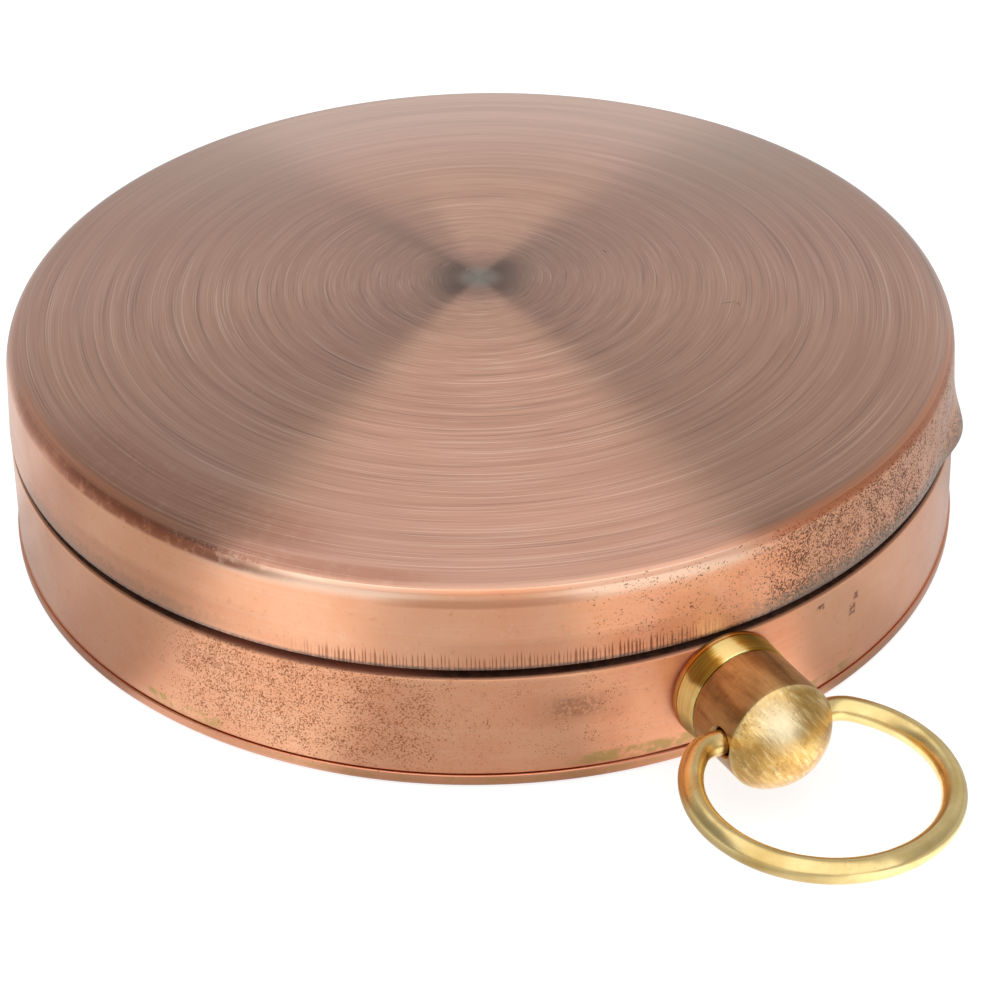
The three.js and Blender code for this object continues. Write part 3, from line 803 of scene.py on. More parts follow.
def turned(profile, sides, bulge=None):
    """Points and faces of a body turned about Z. The profile runs anticlockwise, radius to the right."""
    closed = profile[0][0] > ON_AXIS
    points, rows, faces = [], [], []
    for radius, height in profile:
        if radius < ON_AXIS:
            rows.append([len(points)] * sides)
            points.append((0.0, 0.0, height))
            continue
        first = len(points)
        rows.append(list(range(first, first + sides)))
        for i in range(sides):
            angle = 2 * math.pi * i / sides
            reach = radius + (bulge(math.degrees(angle), radius, height) if bulge else 0.0)
            points.append((reach * math.cos(angle), reach * math.sin(angle), height))
    spans = len(rows) if closed else len(rows) - 1
    for j in range(spans):
        low, high = rows[j], rows[(j + 1) % len(rows)]
        for i in range(sides):
            n = (i + 1) % sides
            corners = [low[i], low[n], high[n], high[i]]
            kept = [c for k, c in enumerate(corners) if c != corners[k - 1]]
            if len(kept) > 2:
                faces.append(kept)
    return points, faces


def spun(name, profile, sides, material, matrix=None):
    """A turned piece of one material."""
    return finished(name, *turned(profile, sides), [material], matrix=matrix)


# The lid

def tab_bulge(angle, radius, height):
    """How far the thumb tab stands out of the skirt, at an angle in degrees and a height in mm."""
    if radius < LID_SHOULDER_RADIUS - LID_CORNER:
        return 0.0
    away = (angle - TAB_AZIMUTH + 180) % 360 - 180
    across = max(0.0, 1 - (away / TAB_HALF_ANGLE) ** 2) ** 2
    up = min(max((height - LID_EDGE) / TAB_RISE, 0.0), 1.0)
    return TAB_REACH * across * math.cos(up * math.pi / 2) ** 2


def lid_profile():
    """The shell's profile, outside first, and how many of its points are outside."""
    corner = LID_SHOULDER_RADIUS - LID_CORNER
    centre = LID_SHOULDER - LID_CORNER
    slope = 2 * math.atan(LID_DOME / LID_SHOULDER_RADIUS)
    start = 90 - math.degrees(slope)
    outer_corner = arc(corner, centre, LID_CORNER, 0, start, 22)
    inner_corner = arc(corner, centre, LID_CORNER - LID_WALL, start, 0, 12)
    dome_radius = outer_corner[-1][0] / math.sin(slope)
    crown = outer_corner[-1][1] + dome_radius * (1 - math.cos(slope))

    def dome(radius, steps):
        angles = [slope * i / steps for i in range(steps)]
        return [(radius * math.sin(a), crown - dome_radius + radius * math.cos(a)) for a in angles]

    foot = LID_EDGE + LID_EDGE_ROUND
    outside = arc(CASE_RADIUS - LID_EDGE_ROUND, foot, LID_EDGE_ROUND, -90, 0, 5)
    outside += line((CASE_RADIUS, foot), (LID_SHOULDER_RADIUS, centre), 26) + outer_corner[1:]
    outside += dome(dome_radius, 24)[::-1]
    inside = dome(dome_radius - LID_WALL, 16) + inner_corner
    inside += line((corner + LID_CORNER - LID_WALL, centre), (CASE_RADIUS - LID_WALL, LID_EDGE), 20)
    return outside + inside, len(outside)


def lid():
    """The shell, with a brushed crown, an aged skirt and a tumbled inside."""
    crown, skirt, inside = range(3)
    profile, outer_count = lid_profile()
    points, faces = turned(profile, LID_SIDES, tab_bulge)
    outer_points = sum(1 if radius < ON_AXIS else LID_SIDES for radius, height in profile[:outer_count])
    brushed_from = LID_SHOULDER - LID_CORNER + LID_CORNER * math.sin(math.radians(BRUSHED_FROM)) - 0.03
    marks = []
    for face in faces:
        brushed = min(points[i][2] for i in face) > brushed_from
        marks.append(inside if max(face) >= outer_points else crown if brushed else skirt)
    piece = finished("lid", points, faces, [crown_finish, skirt_finish, inner_copper], marks=marks)
    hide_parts("lid_shell")
    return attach(piece, "lid")


# The band and the back cover

def case_band():
    foot, head = CASE_FOOT_RADIUS - BAND_FOOT_ROUND, BAND_TOP - BAND_TOP_ROUND
    step, ledge = BEZEL_SKIRT + BEZEL_PLAY, BAND_TOP - BAND_LEDGE
    profile = [(CASE_BORE, BAND_FOOT), (foot, BAND_FOOT)]
    profile += arc(foot, BAND_FOOT + BAND_FOOT_ROUND, BAND_FOOT_ROUND, -90, 0, 3)[1:]
    profile += line(profile[-1], (CASE_RADIUS, head), 12)
    profile += arc(CASE_RADIUS - BAND_TOP_ROUND, head, BAND_TOP_ROUND, 0, 90, 8)[1:]
    profile += [(step, BAND_TOP), (step, ledge), (CASE_BORE, ledge)]
    piece = spun("band", profile, CASE_SIDES, band_finish)
    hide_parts("case_band")
    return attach(piece, "case")


def back_cover():
    wall, head = CASE_BORE - COVER_PLAY, COVER_TOP - COVER_TOP_DROP
    profile = [(radius, 0.0) for radius in COVER_RINGS]
    profile += arc(COVER_RADIUS - COVER_FOOT_ROUND, COVER_FOOT_ROUND, COVER_FOOT_ROUND, -90, 0, 8)
    profile += line(profile[-1], (COVER_RADIUS, head), 2)
    profile += arc(COVER_RADIUS - COVER_TOP_ROUND, head, COVER_TOP_ROUND, 0, 90, 4)[1:]
    profile += [(wall, COVER_TOP), (wall, COVER_WALL_TOP), (wall - COVER_WALL, COVER_WALL_TOP)]
    profile += [(wall - COVER_WALL, COVER_TOP), (0.0, COVER_TOP)]
    piece = spun("back_dish", profile, CASE_SIDES, cover_finish)
    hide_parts("back_cover")
    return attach(piece, "case")


# The capsule: bezel, crystal and dial

def bezel():
    bead, steps = (BAND_TOP + BEZEL_TOP) / 2 - BEAD_HALF, 8
    profile = [(BEZEL_BORE, BEZEL_FOOT), (BEZEL_SKIRT, BEZEL_FOOT), (BEZEL_SKIRT, BAND_TOP), (BEZEL_NECK, BAND_TOP)]
    profile += [
        (BEZEL_NECK + BEAD_RELIEF * math.sin(math.pi * i / steps), bead + 2 * BEAD_HALF * i / steps)
        for i in range(steps + 1)
    ]
    profile += arc(BEZEL_NECK - BEZEL_OUTER_ROUND, BEZEL_TOP - BEZEL_OUTER_ROUND, BEZEL_OUTER_ROUND, 0, 90, 8)
    profile += arc(BEZEL_OPENING + BEZEL_INNER_ROUND, BEZEL_TOP - BEZEL_INNER_ROUND, BEZEL_INNER_ROUND, 90, 180, 6)
    profile += [(BEZEL_OPENING, CRYSTAL_TOP), (BEZEL_BORE, CRYSTAL_TOP)]
    piece = spun("bezel_neck", profile, CAPSULE_SIDES, neck_copper)
    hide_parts("bezel")
    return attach(piece, "case")


def crystal():
    profile = [(0.0, CRYSTAL_FOOT), (CAPSULE_RADIUS, CRYSTAL_FOOT), (CAPSULE_RADIUS, CRYSTAL_TOP - CRYSTAL_CHAMFER)]
    profile += [(CAPSULE_RADIUS - CRYSTAL_CHAMFER, CRYSTAL_TOP), (0.0, CRYSTAL_TOP)]
    piece = spun("glass", profile, CAPSULE_SIDES, crystal_glass)
    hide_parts("crystal")
    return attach(piece, "case")


def degree_ring():
    profile = [(DEGREE_RING_INNER, CARD_TOP), (CAPSULE_RADIUS, CARD_TOP), (CAPSULE_RADIUS, DEGREE_RING_TOP)]
    profile += [(BEZEL_OPENING, DEGREE_RING_TOP), (DEGREE_RING_INNER, DEGREE_RING_FOOT)]
    piece = spun("degree_slope", profile, CAPSULE_SIDES, ring_paper)
    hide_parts("degree_ring")
    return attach(piece, "case")


def tick_tree():
    """Geometry nodes that lay a count of equal ticks round a circle, from one tick's size."""
    tree = bpy.data.node_groups.new("ticks_round_a_dial", "GeometryNodeTree")
    for kind, labels in (
        ("Geometry", ("Geometry",)), ("Int", ("Count",)), ("Material", ("Ink",)),
        ("Float", ("Ring radius", "Tick length", "Tick width", "Tick height", "Lift", "Tilt")),
    ):
        for label in labels:
            tree.interface.new_socket(label, in_out="INPUT", socket_type="NodeSocket" + kind)
    tree.interface.new_socket("Geometry", in_out="OUTPUT", socket_type="NodeSocketGeometry")
    given = Outputs(tree.nodes.new("NodeGroupInput"))
    ring = add(tree, "GeometryNodeMeshCircle", {"Vertices": given["Count"], "Radius": given["Ring radius"]})
    size = joined(X=given["Tick length"], Y=given["Tick width"], Z=given["Tick height"])
    tick = add(tree, "GeometryNodeMeshCube", {"Size": size})
    x, y, z = parts_of(add(tree, "GeometryNodeInputPosition")[0])
    spin = joined(Y=given["Tilt"] * -1.0, Z=calc("ARCTAN2", y, x))
    laid = add(tree, "GeometryNodeInstanceOnPoints", {"Points": ring[0], "Instance": tick[0], "Rotation": spin})
    moved = add(tree, "GeometryNodeTransform", {"Geometry": laid[0], "Translation": joined(Z=given["Lift"])})
    real = add(tree, "GeometryNodeRealizeInstances", {0: moved[0]})
    inked = add(tree, "GeometryNodeSetMaterial", {"Geometry": real[0], "Material": given["Ink"]})
    add(tree, "NodeGroupOutput", {"Geometry": inked[0]})
    return tree


def made_by_nodes(name, tree, values):
    """A piece of plain mesh, as a geometry nodes tree makes it with these values."""
    maker = set_out(name + "_maker", bpy.data.meshes.new(name + "_maker"))
    modifier = maker.modifiers.new("maker", "NODES")
    modifier.node_group = tree
    sockets = {s.name: s.identifier for s in tree.interface.items_tree if s.in_out == "INPUT"}
    for label, value in values.items():
        modifier[sockets[label]] = value
    return set_out(name, plain_mesh(maker, name))


def degree_ticks():
    """Ticks of the degree ring: short each two degrees, longer each ten, longest each thirty."""
    tree = tick_tree()
    run = BEZEL_OPENING - DEGREE_RING_INNER
    rise = DEGREE_RING_TOP - DEGREE_RING_FOOT
    tilt, slant = math.atan2(rise, run), math.hypot(run, rise)
    for name, count, share, width in (
        ("ticks_two_degrees", 180, 0.3, 0.09),
        ("ticks_ten_degrees", 36, 0.5, 0.14),
        ("ticks_thirty_degrees", 12, 0.72, 0.2),
    ):
        middle = 1 - share / 2
        piece = made_by_nodes(name, tree, {
            "Count": count,
            "Ring radius": (DEGREE_RING_INNER + run * middle - TICK_LIFT * math.sin(tilt)) * MM,
            "Tick length": slant * share * MM * 0.96,
            "Tick width": width * MM,
            "Tick height": TICK_HEIGHT * MM,
            "Lift": (DEGREE_RING_FOOT + rise * middle + TICK_LIFT * math.cos(tilt)) * MM,
            "Tilt": tilt,
            "Ink": black_ink,
        })
        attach(piece, "case")


def lettering(name, words, size, radius, azimuth, ink):
    """Plain capital letters or numbers laid on the dial, reading outward from its middle."""
    curve = bpy.data.curves.new(name, "FONT")
    curve.body = words
    curve.size = size * MM
    curve.extrude = INK_THICKNESS * MM / 2
    curve.align_x = "CENTER"
    curve.align_y = "CENTER"
    curve.resolution_u = 6
    mesh = plain_mesh(set_out(name + "_text", curve), name)
    angle = math.radians(azimuth)
    spot = Vector((radius * math.cos(angle), radius * math.sin(angle), CARD_TOP + INK_TOP)) * MM
    mesh.transform(Matrix.Translation(spot) @ Matrix.Rotation(angle - math.pi / 2, 4, "Z"))
    piece = set_out(name, dressed(mesh, ink))
    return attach(piece, "case")


def dial_marks():
    """Cardinal letters and plain degree numbers. North lies towards the stem, east clockwise from it."""
    for word, azimuth in (("N", -90), ("E", 180), ("S", 90), ("W", 0)):
        lettering("letter_" + word, word, LETTER_SIZE, LETTER_RADIUS, azimuth, red_ink if word == "N" else black_ink)
    for degrees in range(0, 360, 30):
        lettering("number_%d" % degrees, str(degrees), NUMBER_SIZE, NUMBER_RADIUS, -90 - degrees, black_ink)


def compass_rose():
    """An eight-pointed star on the card, each point split into a light and a dark half."""
    points, faces, marks = [], [], []

    def plate(corners, mark):
        first, n = len(points), len(corners)
        for height in (CARD_TOP + INK_FOOT, CARD_TOP + STAR_TOP):
            points.extend((x, y, height) for x, y in corners)
        faces.append([first + i for i in reversed(range(n))])
        faces.append([first + n + i for i in range(n)])
        for i in range(n):
            j = (i + 1) % n
            faces.append([first + i, first + j, first + n + j, first + n + i])
        marks.extend([mark] * (n + 2))

    for k in range(8):
        angle = math.radians(45 * k)
        reach, waist, start = SHORT_POINT if k % 2 else LONG_POINT
        tip = (reach * math.cos(angle), reach * math.sin(angle))
        root = (start * math.cos(angle), start * math.sin(angle))
        for side, mark in ((1, 0), (-1, 1)):
            bend = angle + side * math.radians(22.5)
            wing = (waist * math.cos(bend), waist * math.sin(bend))
            wing = (wing[0] + STAR_GAP * math.cos(angle), wing[1] + STAR_GAP * math.sin(angle))
            plate([root, tip, wing] if side > 0 else [root, wing, tip], mark)
    piece = finished("card_star", points, faces, [black_ink, gold_ink], marks=marks)
    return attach(piece, "case")


def card_circles():
    """Two fine printed circles on the card."""
    low, high = CARD_TOP + INK_FOOT, CARD_TOP + INK_TOP
    for name, radius, width in (("card_line_inner", 11.3, 0.14), ("card_line_outer", 16.1, 0.22)):
        profile = [(radius, low), (radius + width, low), (radius + width, high), (radius, high)]
        piece = spun(name, profile, POST_SIDES, black_ink)
        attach(piece, "case")


# The stem

def stem_frame():
    """The stem's own axes and place in mm: across, above, and out along the stem."""
    rise, turn = math.radians(STEM_RISE), math.radians(STEM_TURN)
    out = Vector((0, -math.cos(rise), math.sin(rise)))
    lift = Vector((0, math.sin(rise), math.cos(rise)))
    side = Vector((1, 0, 0))
    across = side * math.cos(turn) - lift * math.sin(turn)
    above = side * math.sin(turn) + lift * math.cos(turn)
    matrix = Matrix((across, above, out)).transposed().to_4x4()
    matrix.translation = Vector((0, -STEM_WALL, STEM_HEIGHT))
    return matrix


def collar():
    """Rim, a fine turned groove, then the bright-cut cone with small broken edges."""
    bore = SHANK_RADIUS + COLLAR_PLAY
    back = COLLAR_BACK_GAP
    rim = back + COLLAR_RIM
    front = back + COLLAR_LENGTH
    profile = [(bore, back)]
    profile += arc(COLLAR_RADIUS - COLLAR_BACK_ROUND, back + COLLAR_BACK_ROUND, COLLAR_BACK_ROUND, -90, 0, 4)
    profile += arc(COLLAR_RADIUS - COLLAR_RIM_ROUND, rim - COLLAR_RIM_ROUND, COLLAR_RIM_ROUND, 0, 90, 4)
    profile += arc(COLLAR_RADIUS - GROOVE_IN, rim + GROOVE_ROUND, GROOVE_ROUND, -90, -180, 4)
    profile += arc(COLLAR_RADIUS - LIP_IN, rim + LIP_UP, LIP_ROUND, 180, 90, 4)
    profile += [(COLLAR_RADIUS - CONE_IN, rim + CONE_UP)]
    profile += line(profile[-1], (COLLAR_FRONT, front - COLLAR_FRONT_ROUND), 10)
    profile += arc(COLLAR_FRONT - COLLAR_FRONT_ROUND, front - COLLAR_FRONT_ROUND, COLLAR_FRONT_ROUND, 0, 90, 4)[1:]
    profile += [(bore, front)]
    piece = spun("collar", profile, COLLAR_SIDES, collar_brass, stem_matrix)
    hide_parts("stem_collar")
    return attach(piece, "case")


def post():
    """Shank, drawn cylinder and domed head, with a cross-hole whose mouths are countersunk."""
    edge = STEM_FOOT + STEM_LENGTH
    dome = (STEM_RADIUS ** 2 + STEM_DOME ** 2) / (2 * STEM_DOME)
    centre = edge + STEM_DOME - dome
    start = math.degrees(math.asin((edge + HEAD_BREAK - centre) / dome))
    profile = [(0.0, SHANK_END), (SHANK_RADIUS - SHANK_CHAMFER, SHANK_END)]
    profile += [(SHANK_RADIUS, SHANK_END + SHANK_CHAMFER), (SHANK_RADIUS, STEM_FOOT)]
    profile += arc(STEM_RADIUS - POST_ROUND, STEM_FOOT + POST_ROUND, POST_ROUND, -90, 0, 4)
    profile += line(profile[-1], (STEM_RADIUS, edge - SIDE_BREAK), 12)
    profile += arc(0, centre, dome, start, 90, 28)[:-1] + [(0.0, edge + STEM_DOME)]
    body = spun("post", profile, POST_SIDES, post_brass)
    mouth = BOW_HOLE_RADIUS + HOLE_FLARE
    hole = [(0.0, -HOLE_CUT_END), (mouth, -HOLE_CUT_END), (BOW_HOLE_RADIUS, -HOLE_STRAIGHT)]
    hole += line(hole[-1], (BOW_HOLE_RADIUS, HOLE_STRAIGHT), 6) + [(mouth, HOLE_CUT_END), (0.0, HOLE_CUT_END)]
    lay = Matrix.Translation((0, 0, BOW_HOLE_AT)) @ Matrix.Rotation(math.pi / 2, 4, "Y")
    cutter = spun("hole_cutter", hole, HOLE_SIDES, post_brass, lay)
    cut = body.modifiers.new("cross_hole", "BOOLEAN")
    cut.operation, cut.solver, cut.object = "DIFFERENCE", "EXACT", cutter
    mesh = dressed(plain_mesh(body, "post"), post_brass, dome_brass)
    bpy.data.objects.remove(cutter, do_unlink=True)
    for face in mesh.polygons:
        face.material_index = 1 if face.center[2] > edge * MM else 0
    scaled = stem_matrix.copy()
    scaled.translation = stem_matrix.translation * MM
    mesh.transform(scaled)
    piece = set_out("post", shaded(mesh))
    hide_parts("stem_post")
    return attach(piece, "case")


# The bow ring

def bow_path(count):
    """The wire's middle line in its own plane, ends first, evenly spaced, before it is made oval."""
    across = math.sqrt((BOW_RADIUS - BOW_ELBOW) ** 2 - (BOW_REACH - BOW_ELBOW) ** 2)
    meet = math.degrees(math.atan2(BOW_ELBOW - BOW_REACH, across))
    left = [(-BOW_END_SPACE / 2, 0.0)] + line((-BOW_END_SPACE / 2, 0.0), (-across, 0.0), 12)
    left += arc(-across, BOW_ELBOW, BOW_ELBOW, -90, -180 - meet, 16)[1:]
    loop = arc(0, BOW_REACH, BOW_RADIUS, 180 - meet, meet, 160)[1:]
    right = arc(across, BOW_ELBOW, BOW_ELBOW, meet, -90, 16)[1:]
    right += line((across, 0.0), (BOW_END_SPACE / 2, 0.0), 12)
    rough = [Vector((x, y * BOW_OVAL)) for x, y in left + loop + right]
    lengths = [0.0]
    for a, b in zip(rough, rough[1:]):
        lengths.append(lengths[-1] + (b - a).length)
    even, k = [], 0
    for i in range(count + 1):
        want = lengths[-1] * i / count
        while k < len(rough) - 2 and lengths[k + 1] < want:
            k += 1
        share = (want - lengths[k]) / max(lengths[k + 1] - lengths[k], 1e-9)
        even.append(rough[k].lerp(rough[k + 1], share))
    return even


def bow():
    """Round wire bent to an open ring, its two ends slightly rounded."""
    steps, sides = 220, 28
    route = bow_path(steps)
    points, faces = [], []
    for i, spot in enumerate(route):
        ahead = route[min(i + 1, steps)] - route[max(i - 1, 0)]
        ahead.normalize()
        outward_way = Vector((-ahead.y, ahead.x))
        near_end = min(i, steps - i)
        radius = BOW_WIRE * (WIRE_END_SHARES[near_end] if near_end < len(WIRE_END_SHARES) else 1.0)
        for k in range(sides):
            turn = 2 * math.pi * k / sides
            flat = outward_way * (radius * math.cos(turn))
            points.append((spot.x + flat.x, radius * math.sin(turn), spot.y + flat.y))
    for i in range(steps):
        a, b = i * sides, (i + 1) * sides
        for k in range(sides):
            n = (k + 1) % sides
            faces.append([a + k, b + k, b + n, a + n])
    faces.append(list(range(sides)))
    faces.append([steps * sides + k for k in reversed(range(sides))])
    lean = Matrix.Translation((0, 0, BOW_HOLE_AT)) @ Matrix.Rotation(math.radians(STEM_RISE + BOW_DROOP), 4, "X")
    piece = finished("bow", points, faces, [wire_finish], matrix=stem_matrix @ lean)
    made = bmesh.new()
    made.from_mesh(piece.data)
    bmesh.ops.recalc_face_normals(made, faces=made.faces)
    made.to_mesh(piece.data)
    made.free()
    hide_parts("bow_ring")
    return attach(piece, "bow")


# Small pieces carried from the solids, with their corners broken

def refined(node, name, body, material, width):
    """A copy of a CAD node with merged points, flat faces joined and its sharp edges bevelled."""
    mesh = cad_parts[node].data.copy()
    mesh.name = name
    made = bmesh.new()
    made.from_mesh(mesh)
    bmesh.ops.remove_doubles(made, verts=made.verts, dist=2e-6)
    bmesh.ops.dissolve_limit(made, angle_limit=math.radians(LEAF_FLAT_BELOW), verts=made.verts, edges=made.edges)
    limit = math.radians(LEAF_SHARP_FROM)
    sharp = [edge for edge in made.edges if len(edge.link_faces) == 2 and edge.calc_face_angle(0.0) > limit]
    bmesh.ops.bevel(
        made, geom=sharp, offset=width * MM, offset_type="OFFSET", segments=3, profile=0.5, affect="EDGES",
        clamp_overlap=True,
    )
    made.to_mesh(mesh)
    made.free()
    piece = set_out(name, dressed(shaded(mesh, LEAF_SMOOTH_BELOW), material))
    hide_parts(node)
    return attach(piece, body)


# Camera, floor and light

def direction_of(azimuth, elevation):
    az, el = math.radians(azimuth), math.radians(elevation)
    return Vector((math.sin(az) * math.cos(el), -math.cos(az) * math.cos(el), math.sin(el)))


def face_inwards(thing, azimuth, elevation, distance, roll=0.0):
    """Stands a camera or a light at a distance from the compass, in metres, facing it."""
    az, roll = math.radians(azimuth), math.radians(roll)
    back = direction_of(azimuth, elevation)
    right = Vector((math.cos(az), math.sin(az), 0))
    up = back.cross(right)
    axes = (right * math.cos(roll) + up * math.sin(roll), up * math.cos(roll) - right * math.sin(roll), back)
    matrix = Matrix(axes).transposed().to_4x4()
    matrix.translation = back * distance
    thing.matrix_world = matrix


def camera():
    data = bpy.data.cameras.new("camera")
    made = set_out("camera", data)
    face_inwards(made, CAMERA_AZIMUTH, CAMERA_ELEVATION, CAMERA_DISTANCE * MM, CAMERA_ROLL)
    data.lens = CAMERA_LENS
    data.sensor_width = CAMERA_SENSOR
    data.shift_x, data.shift_y = CAMERA_SHIFT
    data.clip_start, data.clip_end = 0.01, 20
    bpy.context.scene.camera = made


def softbox(name, azimuth, elevation, distance, width, height, level):
    """A rectangular soft light facing the compass, unseen itself. Its level is its brightness, 1 being white."""
    data = bpy.data.lights.new(name, "AREA")
    data.shape = "RECTANGLE"
    data.size, data.size_y = width, height
    data.energy = level * math.pi * width * height
    made = set_out(name, data)
    face_inwards(made, azimuth, elevation, distance)
    made.visible_camera = False
    made.visible_glossy = False


def studio_round(angle):
    """How bright the studio is at the compass's level, by direction: light cards at the front, dim sides."""
    shade = ROUND_LEVEL
    for *window, strength in ROUND_GLOW:
        shade = angle_patch(angle, *window) * strength + shade
    return shade


def backdrop_light():
    """White where the camera looks, shades of a studio for glossy surfaces, and a plain even level elsewhere."""
    world = bpy.data.worlds.new("studio")
    bpy.context.scene.world = world
    world.use_nodes = True
    tree = world.node_tree
    tree.nodes.clear()
    path = add(tree, "ShaderNodeLightPath")
    ray = add(tree, "ShaderNodeTexCoord")["Generated"]
    angle, height = round_place(ray)["Angle"], parts_of(ray)[2]
    behind = vector_calc("DOT_PRODUCT", ray, direction_of(CAMERA_AZIMUTH + 180, 0))
    aside = vector_calc("DOT_PRODUCT", ray, direction_of(CAMERA_AZIMUTH + 90, 0))
    glare = between(behind, *GLARE_BEHIND) * between(height, *GLARE_UNDER, 1.0, 0.0)
    wall = between(behind, *WALL_BEHIND, 0.0, WALL_RISE) + MIDDLE_LEVEL + glare * WALL_GLARE
    wall = wall + angle_patch(angle, *FLANK) * FLANK_LEVEL
    share = between(height, 0.0, LOW_REACH)
    sky = (studio_round(angle) + LOW_LIFT) * (1.0 - share) + wall * share
    slant = calc("ABSOLUTE", aside) * CARD_ACROSS + behind * CARD_TAPER
    ends = between(height, *CARD_FRONT) * between(behind - height, *CARD_BACK)
    card = between(CARD_HALF - slant, *CARD_EDGE) * ends
    shades = grey(sky * (1.0 - card) + card * CARD_LEVEL)
    level = mixed(path["Is Glossy Ray"], EVEN_LEVEL, shades)
    white = calc("MAXIMUM", path["Is Camera Ray"], path["Is Transmission Ray"])
    plain = add(tree, "ShaderNodeBackground", {"Color": mixed(white, level, WHITE), "Strength": 1.0})
    add(tree, "ShaderNodeOutputWorld", {0: plain[0]})


def floor():
    """A pale table top: white to the camera with a soft shadow, and lit unevenly as metal sees it."""
    material, place = new_material(
        "pale_floor", Base_Color=FLOOR_TONE, Roughness=0.7, Specular_IOR_Level=0.1, Emission_Strength=1.0,
    )
    path = add(place.tree, "ShaderNodeLightPath")
    glow = mixed(path["Is Camera Ray"], BLACK, FLOOR_GLOW)
    seen = grey(studio_round(round_place(place)["Angle"]))
    wired(material, Emission_Color=mixed(path["Is Glossy Ray"], glow, seen))
    mesh = bpy.data.meshes.new("table_top")
    corners = [(x * FLOOR_HALF, y * FLOOR_HALF, -FLOOR_DROP) for x, y in ((-1, -1), (1, -1), (1, 1), (-1, 1))]
    mesh.from_pydata(corners, [], [(0, 1, 2, 3)])
    set_out("table_top", dressed(mesh, material))


# How bright the studio is round the compass: a level, and windows as angle, half width, softness, strength

ROUND_LEVEL = 0.18
ROUND_GLOW = [
    (171, 6, 6, 0.06),
    (157, 4, 7, 0.12),
    (-44, 9, 8, 0.12),
    (-148, 9, 9, 0.5),
    (-122, 8, 10, 0.06),
    (-89, 7, 11, 0.5),
    (-85, 4, 9, 0.66),
    (178, 16, 12, -0.06),
    (143, 8, 10, 0.22),
]

# The studio above that level: its middle, the wall behind with a glare on it, and one flank as such a window

LOW_LIFT = 0.28
LOW_REACH = 0.24
MIDDLE_LEVEL = 0.3
WALL_BEHIND = (0.1, 0.8)
WALL_RISE = 0.24
GLARE_BEHIND = (0.6, 0.9)
GLARE_UNDER = (0.42, 0.56)
WALL_GLARE = 0.12
FLANK = (-10.0, 28.0, 26.0)
FLANK_LEVEL = 0.14

# The light card overhead: its level, half width, slants, and where it ends at the front and the back

CARD_LEVEL = 1.38
CARD_HALF = 0.47
CARD_ACROSS = 0.857
CARD_TAPER = 0.515
CARD_FRONT = (0.14, 0.28)
CARD_BACK = (0.0, -0.3)
CARD_EDGE = (-0.05, 0.07)

# Plain shades of the studio and the floor, and the floor's size and drop in metres

WHITE = (1, 1, 1, 1)
BLACK = (0, 0, 0, 1)
EVEN_LEVEL = (0.75, 0.75, 0.75, 1)
FLOOR_TONE = (0.35, 0.35, 0.35, 1)
FLOOR_GLOW = (0.78, 0.78, 0.78, 1)
FLOOR_HALF = 4.0
FLOOR_DROP = 0.00002

# The middle of the painted highlight on the post's head, in mm right of and above its axis

HEAD_GLOSS = (-0.8, 1.5)

# Painted reflections round the collar, as bright and dark sectors, each as angle, half width, softness, strength and
# colour

COLLAR_REFLECTION_SECTORS = [
    (66, 15, 14, 0.7, (142, 104, 34)),
    (103, 9, 7, 1.0, (255, 255, 184)),
    (134, 12, 8, 0.8, (124, 84, 24)),
    (177, 22, 12, 0.7, (255, 246, 176)),
    (-138, 18, 22, 0.8, (120, 82, 30)),
    (-60, 20, 25, 0.5, (160, 120, 50)),
]

# The crown's brushing as spacing in mm and waver, the direction in which it fades, and small marks on it, each as
# place, turn, length, width and depth

CROWN_BRUSHING = [(0.06, 4.0), (0.13, 1.6), (0.4, 0.9), (0.07, 1.3)]
CROWN_BACK = (0.445, 0.895, 0.0)
CROWN_MARKS = [
    (7.24, -0.62, 99.0, 0.42, 0.1, 0.75),
    (10.5, -7.99, -11.0, 0.95, 0.07, 0.65),
    (10.93, -8.32, 70.0, 0.5, 0.07, 0.65),
    (10.8, -8.25, 20.0, 0.3, 0.06, 0.5),
]

# Worn places, with painted sheen and painted shade among them, each as angle, half width, softness, foot, top and
# strength, in degrees and mm

SHOULDER_RUST = [
    (-172, 12, 14, 11.0, 11.66, 0.7),
    (-52, 26, 18, 10.9, 11.45, 0.85),
    (-108, 16, 14, 11.0, 11.2, 0.5),
    (100, 50, 30, 11.0, 11.66, 0.7),
]
# Soiling and painted shade on the lid's shoulder.
SHOULDER_GRIME_AND_SHADE = [
    (-158, 11, 12, 10.8, 11.42, 1.0),
    (-176, 8, 12, 10.8, 11.42, 0.65),
    # Painted shade along the crown's rim.
    (-156, 14, 12, 11.7, 12.1, 0.35),
    (-136, 8, 9, 11.35, 11.75, 0.45),
]
SKIRT_PITS = [
    (-70, 11, 11, 6.9, 11.3, 0.95),
    (-95, 6, 14, 7.0, 11.2, 0.5),
    (-56, 14, 12, 6.9, 11.3, 0.75),
    (-150, 16, 20, 7.0, 9.0, 0.2),
    (40, 40, 40, 7.0, 10.0, 0.3),
]
SKIRT_HAZE_AND_SHADE = [
    (-177, 5, 7, 6.9, 11.2, 0.35),
    (-108, 9, 9, 6.9, 8.4, 0.3),
    # Painted shade: a darker line low on the front of the shoulder.
    (-116, 6, 8, 10.35, 10.75, 0.55),
    (-58, 10, 10, 7.2, 11.2, 0.2),
    (-168, 12, 20, 7.0, 8.6, 0.4),
    (70, 50, 40, 7.0, 10.0, 0.35),
]
SKIRT_PATINA = [
    (-66, 14, 12, 6.4, 8.8, 1.0),
    (-38, 10, 8, 6.4, 9.6, 0.85),
    (-166, 12, 12, 6.4, 7.8, 0.5),
    (100, 30, 30, 6.5, 7.6, 0.8),
]
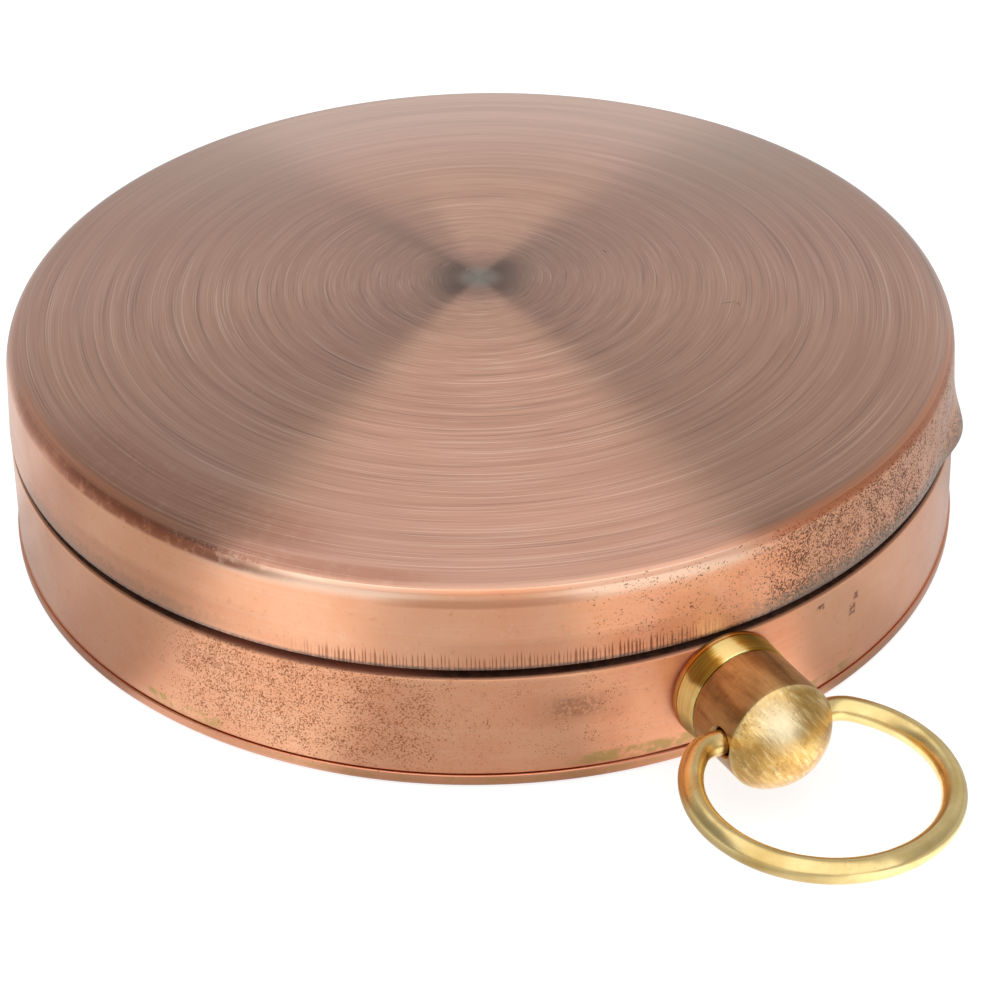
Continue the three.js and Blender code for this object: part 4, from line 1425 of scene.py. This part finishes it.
# Painted sheen on the skirt's shoulder.
SHOULDER_SHEEN = [(-97, 7, 9, 10.5, 11.9, 1.0), (-136, 8, 10, 10.7, 11.9, 0.9)]
DULLED = [(-92, 9, 8, 0.0, 11.0, 1.0)]
SKIRT_STROKES = [(-114, 17, 9, 6.2, 8.2, 1.0)]
BAND_PITS = [
    (-137, 11, 14, 1.0, 6.8, 0.85),
    (-118, 12, 16, 1.0, 6.6, 0.5),
    (-77, 8, 10, 3.5, 6.0, 0.12),
    (60, 50, 50, 1.0, 6.0, 0.25),
]
BAND_HAZE = [
    (-130, 22, 24, 1.4, 6.0, 0.12),
    (-107, 3, 6, 3.4, 5.2, 0.35),
    (80, 50, 50, 1.0, 6.0, 0.3),
]
BAND_STAINS = [
    (-107, 1.0, 3.0, 3.9, 4.9, 0.5),
    (-76.6, 0.35, 0.45, 5.5, 5.8, 1.0),
    (-71.2, 0.3, 0.4, 4.0, 4.6, 1.0),
    (-70.6, 0.2, 0.4, 4.8, 5.2, 0.9),
    (-147, 1.0, 1.5, 4.6, 5.2, 0.35),
]
BAND_GREASE = [
    (-153, 4, 3, 0.9, 1.5, 1.0),
    (-98, 7, 4, 0.9, 1.5, 1.0),
    (-78, 5, 4, 0.9, 1.4, 0.9),
]
COVER_GREASE = [(-98, 30, 30, 0.3, 0.6, 0.5)]

stem_matrix = stem_frame()
crown_finish = spun_copper()
skirt_finish = aged_copper(
    "aged_copper_skirt", ((255, 194, 155), (246, 173, 130)), SKIRT_PITS, SKIRT_HAZE_AND_SHADE, 0.2, LID_EDGE, 0.92,
    patina=SKIRT_PATINA, strokes=SKIRT_STROKES, rusted=SHOULDER_RUST, speck=(0.1, (100, 62, 44), 0.82),
)
band_finish = aged_copper(
    "aged_copper_band", ((252, 190, 149), (242, 168, 125)), BAND_PITS, BAND_HAZE, 0.2, BAND_FOOT, 0.1,
    stains=BAND_STAINS, grease=BAND_GREASE, speck=(0.095, (158, 98, 58), 0.8), top=BAND_TOP,
)
cover_finish = aged_copper(
    "aged_copper_cover", ((230, 162, 126), (212, 144, 108)), BAND_PITS, BAND_HAZE, 0.35, -0.3, 0.0,
    grease=COVER_GREASE,
)
inner_copper = plain_copper("tumbled_copper")
neck_copper = plain_copper("neck_copper", (BAND_TOP, LID_EDGE + 0.2))
collar_brass = bright_cut_brass()
post_brass = stem_brass()
dome_brass = head_brass()
wire_finish = wire_brass()
plain_brass = small_metal("turned_brass", (214, 180, 104), (186, 150, 82), 0.25)
steel_finish = small_metal("ground_steel", (198, 200, 204), (170, 172, 178), 0.2)
needle_finish = needle_paint()
card_paper = printed_paper("card_paper", (240, 232, 208), (226, 215, 186))
ring_paper = printed_paper("ring_paper", (246, 241, 226), (234, 226, 204))
black_ink = printed_paper("black_ink", (28, 26, 25), (40, 37, 34))
red_ink = printed_paper("red_ink", (172, 34, 30), (150, 28, 26))
gold_ink = printed_paper("ochre_ink", (196, 152, 76), (180, 136, 64))
rubber_finish = gasket_rubber()
crystal_glass = clear_glass("crystal_glass", (254, 254, 253), 0.0)
jewel_glass = clear_glass("jewel_glass", (196, 60, 72), 0.02)

camera()
backdrop_light()
floor()
softbox("top_box", CAMERA_AZIMUTH, 89.9, distance=0.75, width=0.74, height=1.2, level=1.1)
softbox("left_box", CAMERA_AZIMUTH - 75, 28, distance=0.8, width=0.4, height=0.4, level=1.2)

lid()
case_band()
back_cover()
bezel()
crystal()
degree_ring()
degree_ticks()
dial_marks()
compass_rose()
card_circles()
collar()
post()
bow()
refined("case_hinge_leaf", "hinge_leaf_case", "case", inner_copper, LEAF_BEVEL)
refined("lid_hinge_leaf", "hinge_leaf_lid", "lid", inner_copper, LEAF_BEVEL)

# CAD nodes that keep their own shape and take a finish

for finish, nodes in (
    (plain_brass, ("hinge_pin", "stem_nut", "dial_plate", "capsule_pan", "pivot_boss", "needle_cap")),
    (steel_finish, ("pivot_pin",)),
    (needle_finish, ("needle_blade",)),
    (jewel_glass, ("needle_jewel",)),
    (rubber_finish, ("crystal_gasket",)),
    (card_paper, ("dial_card",)),
):
    for node in nodes:
        dressed(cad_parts[node].data, finish)

bpy.context.scene.view_settings.view_transform = "Standard"
bpy.context.view_layer.update()
